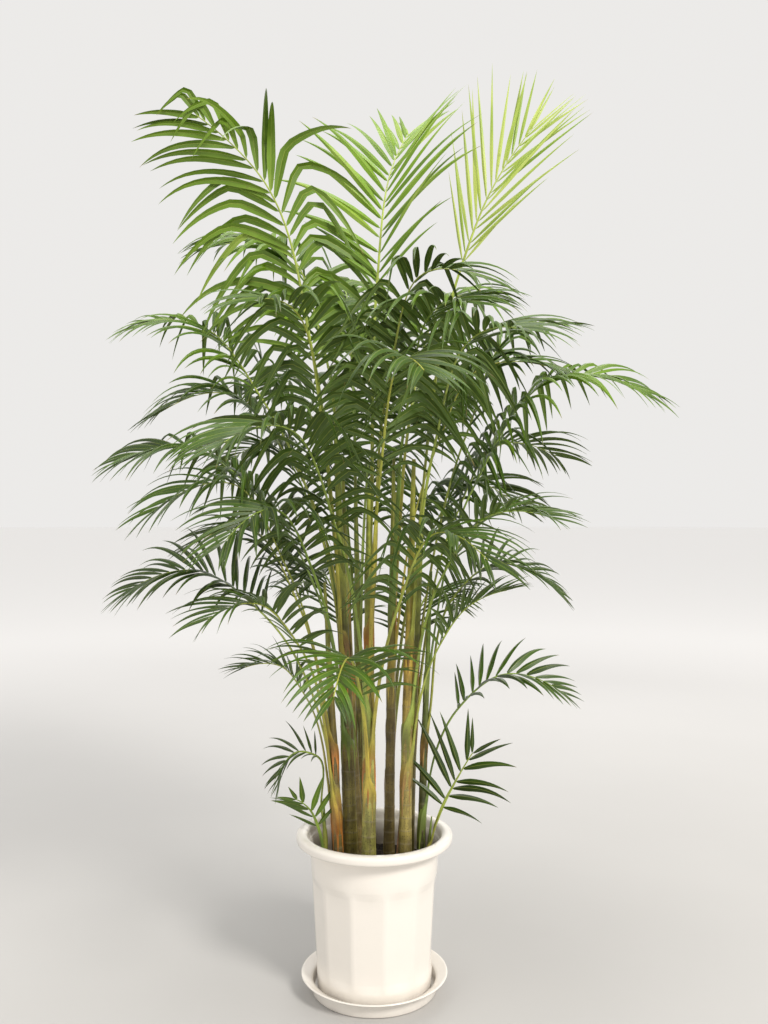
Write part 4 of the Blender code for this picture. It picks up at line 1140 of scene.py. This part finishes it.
def leaflet(skin, base, heading, wide, up, length, width, bend, crease, twist, tone, patch):
    """One pleated leaflet: rings of edge, ridge, edge and underside ridge between two points,
    turned down step by step by its weight. crease is the share where it gives way, and how far."""
    normal = wide.cross(heading)
    if normal.dot(up) < 0:
        wide, normal = -wide, -normal
    left, right = patch
    place, before = base.copy(), 0.0
    rows, shares = [[skin.point(base, tone)]], [0.0]
    for share in BLADE_SHARES + (1.0,):
        step = (share - before) * length
        level = 0.22 + 0.78 * math.hypot(heading.x, heading.y)
        down = Vector((0, 0, -1))
        down = down - heading * heading.dot(down)
        give = bend * step * level * (0.25 + 1.50 * share**1.2)
        give += crease[1] * math.exp(-(((share - crease[0]) / 0.075) ** 2))
        turned = (heading + down * give).normalized()
        turn = heading.rotation_difference(turned)
        turn = Quaternion(turned, twist * (share - before)) @ turn
        heading, wide, normal = turned, turn @ wide, turn @ normal
        place = place + heading * step
        before = share
        shares.append(share)
        if share == 1.0:
            rows.append([skin.point(place, tone)])
            continue
        half = width / 2 * blade_width(share)
        fold = half * (0.62 - 0.34 * share)
        thick = 0.00075 - 0.00045 * share
        rows.append([
            skin.point(place - wide * half - normal * fold * 0.5, tone),
            skin.point(place + normal * (fold * 0.5 + thick / 2), tone),
            skin.point(place + wide * half - normal * fold * 0.5, tone),
            skin.point(place + normal * (fold * 0.5 - thick / 2), tone),
        ])
    spans = ((0, 1, 0.0, 0.5, 0), (1, 2, 0.5, 1.0, 0), (2, 3, 1.0, 0.5, 1), (3, 0, 0.5, 0.0, 1))
    for row in range(len(rows) - 1):
        lower, upper, v0, v1 = rows[row], rows[row + 1], shares[row], shares[row + 1]
        for a, b, u0, u1, under in spans:
            top = 0.505 if under else 0.005
            spots = [(a, lower, u0, v0), (b, lower, u1, v0), (b, upper, u1, v1), (a, upper, u0, v1)]
            if len(lower) == 1:
                spots = [(0, lower, 0.5, v0)] + spots[2:]
            elif len(upper) == 1:
                spots = spots[:2] + [(0, upper, 0.5, v1)]
            pattern = [(u, v) for _, _, u, v in spots]
            sheet = [(left + (right - left) * u, top + 0.49 * v) for u, v in pattern]
            skin.face([line[i] for i, line, _, _ in spots], 0, pattern, sheet, under)


def grow_leaflet(skin, stalk, settings, rand, index, pairs):
    """One leaflet of the pairs up a stalk: placed, sized, bent and toned, each a little by chance."""
    u = index // 2 / (pairs - 1)
    sign = 1 if index % 2 else -1
    first = stalk.neck * FIRST_AT
    share = first + (LAST_AT - first) * min(1.0, max(0.0, u + rand.uniform(-0.3, 0.3) / pairs))
    middle, along, side, up, width = stalk.at(share)
    widest, closer, power = LEAFLET_AWAY
    away = (widest - closer * u**power) * stalk.spread + rand.uniform(-6, 6)
    raised = LEAFLET_RISE[0] - LEAFLET_RISE[1] * u + rand.uniform(-8, 8)
    away, raised = math.radians(away), math.radians(raised)
    sideways = side * sign * math.cos(raised) + up * math.sin(raised)
    heading = (along * math.cos(away) + sideways * math.sin(away)).normalized()
    wide = (along - heading * along.dot(heading)).normalized()
    wide = Quaternion(heading, math.radians(rand.uniform(-16, 16))) @ wide
    opening = FIRST_LENGTH + (1 - FIRST_LENGTH) * min(1.0, u / FULL_FROM)
    grown = opening * (1 - LAST_SHORTER * u**2.6)
    length = stalk.longest * grown * rand.uniform(0.86, 1.0)
    broad = settings.leaflet_width * stalk.longest * (0.70 + 0.30 * smooth(0.0, 0.3, u))
    broad *= (1 - LAST_NARROWER * u**3) * (1 - YOUNG_NARROWER * smooth(0.5, 1.0, stalk.fresh))
    broad *= rand.uniform(0.85, 1.08) * stalk.broad
    bend = settings.leaflet_droop * stalk.droop * rand.uniform(0.78, 1.3)
    twist = math.radians(rand.uniform(-28, 28))
    dryness = rand.random() ** 3
    fresh = min(1.0, max(0.0, stalk.fresh + rand.uniform(-0.05, 0.05)))
    # the tone's red carries the frond's freshness, which on the upper fronds is partly painted glow
    tone = (fresh, rand.random(), dryness)
    base = middle + side * sign * width * 0.30 + up * width * 0.10
    total = 2 * pairs
    left = BLADES_ON_SHEET * index / total
    patch = (left + 0.04 / total, left + 0.91 / total)
    gives_way = stalk.fresh < CREASED_BELOW and stalk.longest > CREASED_FROM
    upright = smooth(0.40, 0.85, heading.z) * gives_way
    crease = (rand.uniform(0.42, 0.66) - 0.16 * upright, upright * rand.uniform(1.4, 2.4))
    leaflet(skin, base, heading, wide, up, length, broad, bend, crease, twist, tone, patch)


def make_frond(name, looks, settings):
    stalk = Stalk(name)
    rand = random.Random(name)
    skin = Skin()
    spacing = (settings.leaflet_spacing * stalk.longest + LEAST_SPACING) * stalk.broad
    pairs = max(LEAST_PAIRS, round((1 - stalk.neck) * stalk.length / spacing))
    for index in range(2 * pairs):
        grow_leaflet(skin, stalk, settings, rand, index, pairs)
    stalk_skin(skin, name, stalk, rand)
    blade = "young_leaf_blade" if name == YOUNG_FROND else "leaf_blade"
    materials = [leaf_material(blade, looks, looks.stops()), stalk_material(looks)]
    return skin.piece(name.replace("frond", "feather_frond"), materials, angle=28)


# ---------------------------------------------------------------- what a user may change


def colour_property(name, description, default):
    return bpy.props.FloatVectorProperty(
        name=name, description=description, default=default, size=3, min=0.0, max=1.0, subtype="COLOR"
    )


class PalmLooks(bpy.types.PropertyGroup):
    white: colour_property("Plastic", "Colour of the pot and saucer", (0.83, 0.785, 0.72))
    stain: colour_property("Stain", "Colour of dust and soil on the plastic", (0.20, 0.155, 0.11))
    soil: colour_property("Soil", "Colour of the dry soil", (0.030, 0.019, 0.011))
    soil_damp: colour_property("Damp soil", "Colour of the damp soil", (0.012, 0.008, 0.005))
    soil_fibre: colour_property("Fibre", "Colour of fibres in the soil", (0.11, 0.065, 0.032))
    deep: colour_property("Old leaf", "Colour of the oldest leaflets", (0.020, 0.043, 0.004))
    middle: colour_property("Grown leaf", "Colour of grown leaflets", (0.050, 0.108, 0.005))
    # The bright and young leaf colours also serve as painted glow on the upper fronds, where light shines
    # through the leaflets
    bright: colour_property("Bright leaf", "Colour of bright leaflets", (0.140, 0.255, 0.008))
    pale: colour_property("Young leaf", "Colour of newly opened leaflets", (0.400, 0.480, 0.110))
    underside: colour_property("Underside", "Tint of the leaflets' undersides", (0.13, 0.19, 0.035))
    midrib: colour_property("Midrib", "Colour of the midribs", (0.33, 0.38, 0.07))
    blemish: colour_property("Blemish", "Colour of small marks on leaflets", (0.12, 0.13, 0.03))
    dry_tip: colour_property("Dry tip", "Colour of dried tips", (0.28, 0.18, 0.07))
    cane_speck: colour_property("Cane specks", "Colour of the canes' specks", (0.040, 0.024, 0.009))
    cane_husk: colour_property("Cane husk", "Colour of flaky husk on canes", (0.105, 0.078, 0.034))
    cane_scar: colour_property("Cane scars", "Colour of the rings on canes", (0.20, 0.165, 0.095))
    # The floor's two colours are painted light: the near one darker where the lamps light the floor most,
    # the far one lighter where their light falls off
    floor: colour_property("Floor", "Colour of the floor by the plant", (0.50, 0.49, 0.475))
    floor_far_painted_light: colour_property("Far floor", "Colour of the floor far away", (0.97, 0.96, 0.95))
    gloss: bpy.props.FloatProperty(
        name="Leaf roughness", description="Roughness of the leaflets' upper side",
        default=0.34, min=0.05, max=1.0, subtype="FACTOR",
    )
    pot_gloss: bpy.props.FloatProperty(
        name="Plastic roughness", description="Roughness of clean plastic",
        default=0.16, min=0.02, max=1.0, subtype="FACTOR",
    )

    def stops(self):
        """Leaf colour by freshness; on the upper fronds the brighter stops partly paint glow where light
        shines through the leaflets.
        """
        steps = (0.10, 0.40, 0.70, 0.98)
        return list(zip(steps, map(tuple, (self.deep, self.middle, self.bright, self.pale))))


class PalmSizes(bpy.types.PropertyGroup):
    leaflet_spacing: bpy.props.FloatProperty(
        name="Leaflet spacing", description="Distance between leaflets, beside their length",
        default=0.066, min=0.03, max=0.3, subtype="FACTOR",
    )
    leaflet_width: bpy.props.FloatProperty(
        name="Leaflet width", description="Width of a leaflet, beside the frond's longest",
        default=0.070, min=0.02, max=0.2, subtype="FACTOR",
    )
    leaflet_droop: bpy.props.FloatProperty(
        name="Leaflet droop", description="How far leaflets bend down under their weight",
        default=5.9, min=0.0, max=20.0,
    )
    crumbs: bpy.props.IntProperty(
        name="Crumbs", description="Number of crumbs on the soil", default=420, min=1, max=2000
    )
    camera_distance: bpy.props.FloatProperty(
        name="Camera distance", description="From the pot's middle to the camera",
        default=1.908, min=0.5, max=10.0, unit="LENGTH",
    )
    camera_height: bpy.props.FloatProperty(
        name="Camera height", description="Height of the camera above the floor",
        default=0.943, min=0.0, max=5.0, unit="LENGTH",
    )


# ---------------------------------------------------------------- operators


def settle(item, slot, *nodes):
    """item rides with the plant and stands for these CAD nodes, which are hidden; slot is not used."""
    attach(item, "root")
    if nodes:
        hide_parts(*nodes)


class PALM_OT_saucer(bpy.types.Operator):
    """Build the saucer"""

    bl_idname = "palm.saucer"
    bl_label = "Saucer"

    def execute(self, context):
        settle(make_saucer(context.scene.palm_looks), "saucer_plastic", "saucer")
        return {"FINISHED"}


class PALM_OT_pot(bpy.types.Operator):
    """Build the pot with its flat side panels and rolled rim"""

    bl_idname = "palm.pot"
    bl_label = "Pot"

    def execute(self, context):
        settle(make_pot(context.scene.palm_looks), "pot_plastic", "pot")
        return {"FINISHED"}


class PALM_OT_soil(bpy.types.Operator):
    """Build the soil and the crumbs on it"""

    bl_idname = "palm.soil"
    bl_label = "Soil"

    def execute(self, context):
        scene = context.scene
        settle(make_soil(scene.palm_looks), "soil", "soil")
        settle(make_crumbs(scene.palm_looks, scene.palm_sizes), "soil")
        return {"FINISHED"}


class PALM_OT_canes(bpy.types.Operator):
    """Build the ringed canes, the two shoots and the dry stalk"""

    bl_idname = "palm.canes"
    bl_label = "Canes"

    def execute(self, context):
        for name in CANES:
            slot = "dry_stalk" if name == "dry_stalk" else "cane"
            settle(make_cane(name, context.scene.palm_looks), slot, name)
        return {"FINISHED"}


class PALM_OT_fronds(bpy.types.Operator):
    """Build every frond: its sheath, stalk and leaflets"""

    bl_idname = "palm.fronds"
    bl_label = "Fronds"

    def execute(self, context):
        scene = context.scene
        for name in FRONDS:
            slot = "young_leaf" if name == YOUNG_FROND else "leaf"
            settle(make_frond(name, scene.palm_looks, scene.palm_sizes), slot, name)
        return {"FINISHED"}


# The stage: its floor, the air's light, the lens, and each soft light's place, aim, width, power
# and colour
FLOOR_RADIUS = 60.0
AIR_COLOUR = (1.0, 0.985, 0.965)
AIR_STRENGTH = 0.84
LENS_MM = 33.75
CAMERA_ASIDE = 0.019
LIGHTS = {
    "key": ((3.0, -3.8, 4.1), (0.0, 0.0, 0.9), 1.5, 268.0, (1.0, 0.965, 0.915)),
    "fill": ((-2.8, -2.0, 1.6), (0.0, 0.0, 0.8), 2.4, 10.0, (1.0, 0.97, 0.93)),
    "top": ((-0.3, -0.2, 3.6), (0.0, 0.0, 1.0), 2.0, 45.0, (1.0, 0.99, 0.97)),
    "back": ((0.6, 2.8, 2.2), (0.0, 0.0, 1.1), 2.4, 16.0, (1.0, 0.99, 0.98)),
}


def area_light(name, place, aim, size, power, colour):
    data = bpy.data.lights.new(name, "AREA")
    data.shape = "DISK"
    data.size = size
    data.energy = power
    data.color = colour
    item = bpy.data.objects.new(name, data)
    item.location = place
    item.rotation_mode = "QUATERNION"
    item.rotation_quaternion = (Vector(aim) - Vector(place)).to_track_quat("-Z", "Y")
    bpy.context.scene.collection.objects.link(item)


class PALM_OT_stage(bpy.types.Operator):
    """Build the floor, the soft studio light and the camera"""

    bl_idname = "palm.stage"
    bl_label = "Stage"

    def execute(self, context):
        scene = context.scene
        sizes = scene.palm_sizes
        start_piece()
        bpy.ops.mesh.primitive_circle_add(vertices=96, radius=FLOOR_RADIUS, fill_type="NGON")
        floor = context.object
        floor.name = "studio_floor"
        floor.data.materials.append(floor_material(scene.palm_looks))
        for name, row in LIGHTS.items():
            area_light(name, *row)
        world = bpy.data.worlds.new("studio_air")
        world.use_nodes = True
        air = world.node_tree.nodes["Background"].inputs
        air["Color"].default_value = opaque(AIR_COLOUR)
        air["Strength"].default_value = AIR_STRENGTH
        scene.world = world
        data = bpy.data.cameras.new("view")
        data.lens = LENS_MM
        camera = bpy.data.objects.new("view", data)
        camera.location = (CAMERA_ASIDE, -sizes.camera_distance, sizes.camera_height)
        camera.rotation_euler = (math.radians(90), 0.0, 0.0)
        scene.collection.objects.link(camera)
        scene.camera = camera
        scene.view_settings.view_transform = "Standard"
        return {"FINISHED"}


class PALM_PT_panel(bpy.types.Panel):
    """The pieces of the potted palm and their settings"""

    bl_idname = "PALM_PT_panel"
    bl_label = "Potted Palm"
    bl_space_type = "VIEW_3D"
    bl_region_type = "UI"
    bl_category = "Potted Palm"

    def draw(self, context):
        layout = self.layout
        for operator in OPERATORS:
            layout.operator(operator.bl_idname)
        for group in (context.scene.palm_sizes, context.scene.palm_looks):
            column = layout.column()
            for key in group.__annotations__:
                column.prop(group, key)


OPERATORS = (
    PALM_OT_saucer, PALM_OT_pot, PALM_OT_soil, PALM_OT_canes, PALM_OT_fronds, PALM_OT_stage,
)
CLASSES = (PalmLooks, PalmSizes) + OPERATORS + (PALM_PT_panel,)


def register():
    for item in CLASSES:
        bpy.utils.register_class(item)
    bpy.types.Scene.palm_looks = bpy.props.PointerProperty(type=PalmLooks)
    bpy.types.Scene.palm_sizes = bpy.props.PointerProperty(type=PalmSizes)


def unregister():
    del bpy.types.Scene.palm_sizes
    del bpy.types.Scene.palm_looks
    for item in reversed(CLASSES):
        bpy.utils.unregister_class(item)


def main():
    register()
    bpy.ops.palm.saucer()
    bpy.ops.palm.pot()
    bpy.ops.palm.soil()
    bpy.ops.palm.canes()
    bpy.ops.palm.fronds()
    bpy.ops.palm.stage()


if __name__ == "__main__":
    main()
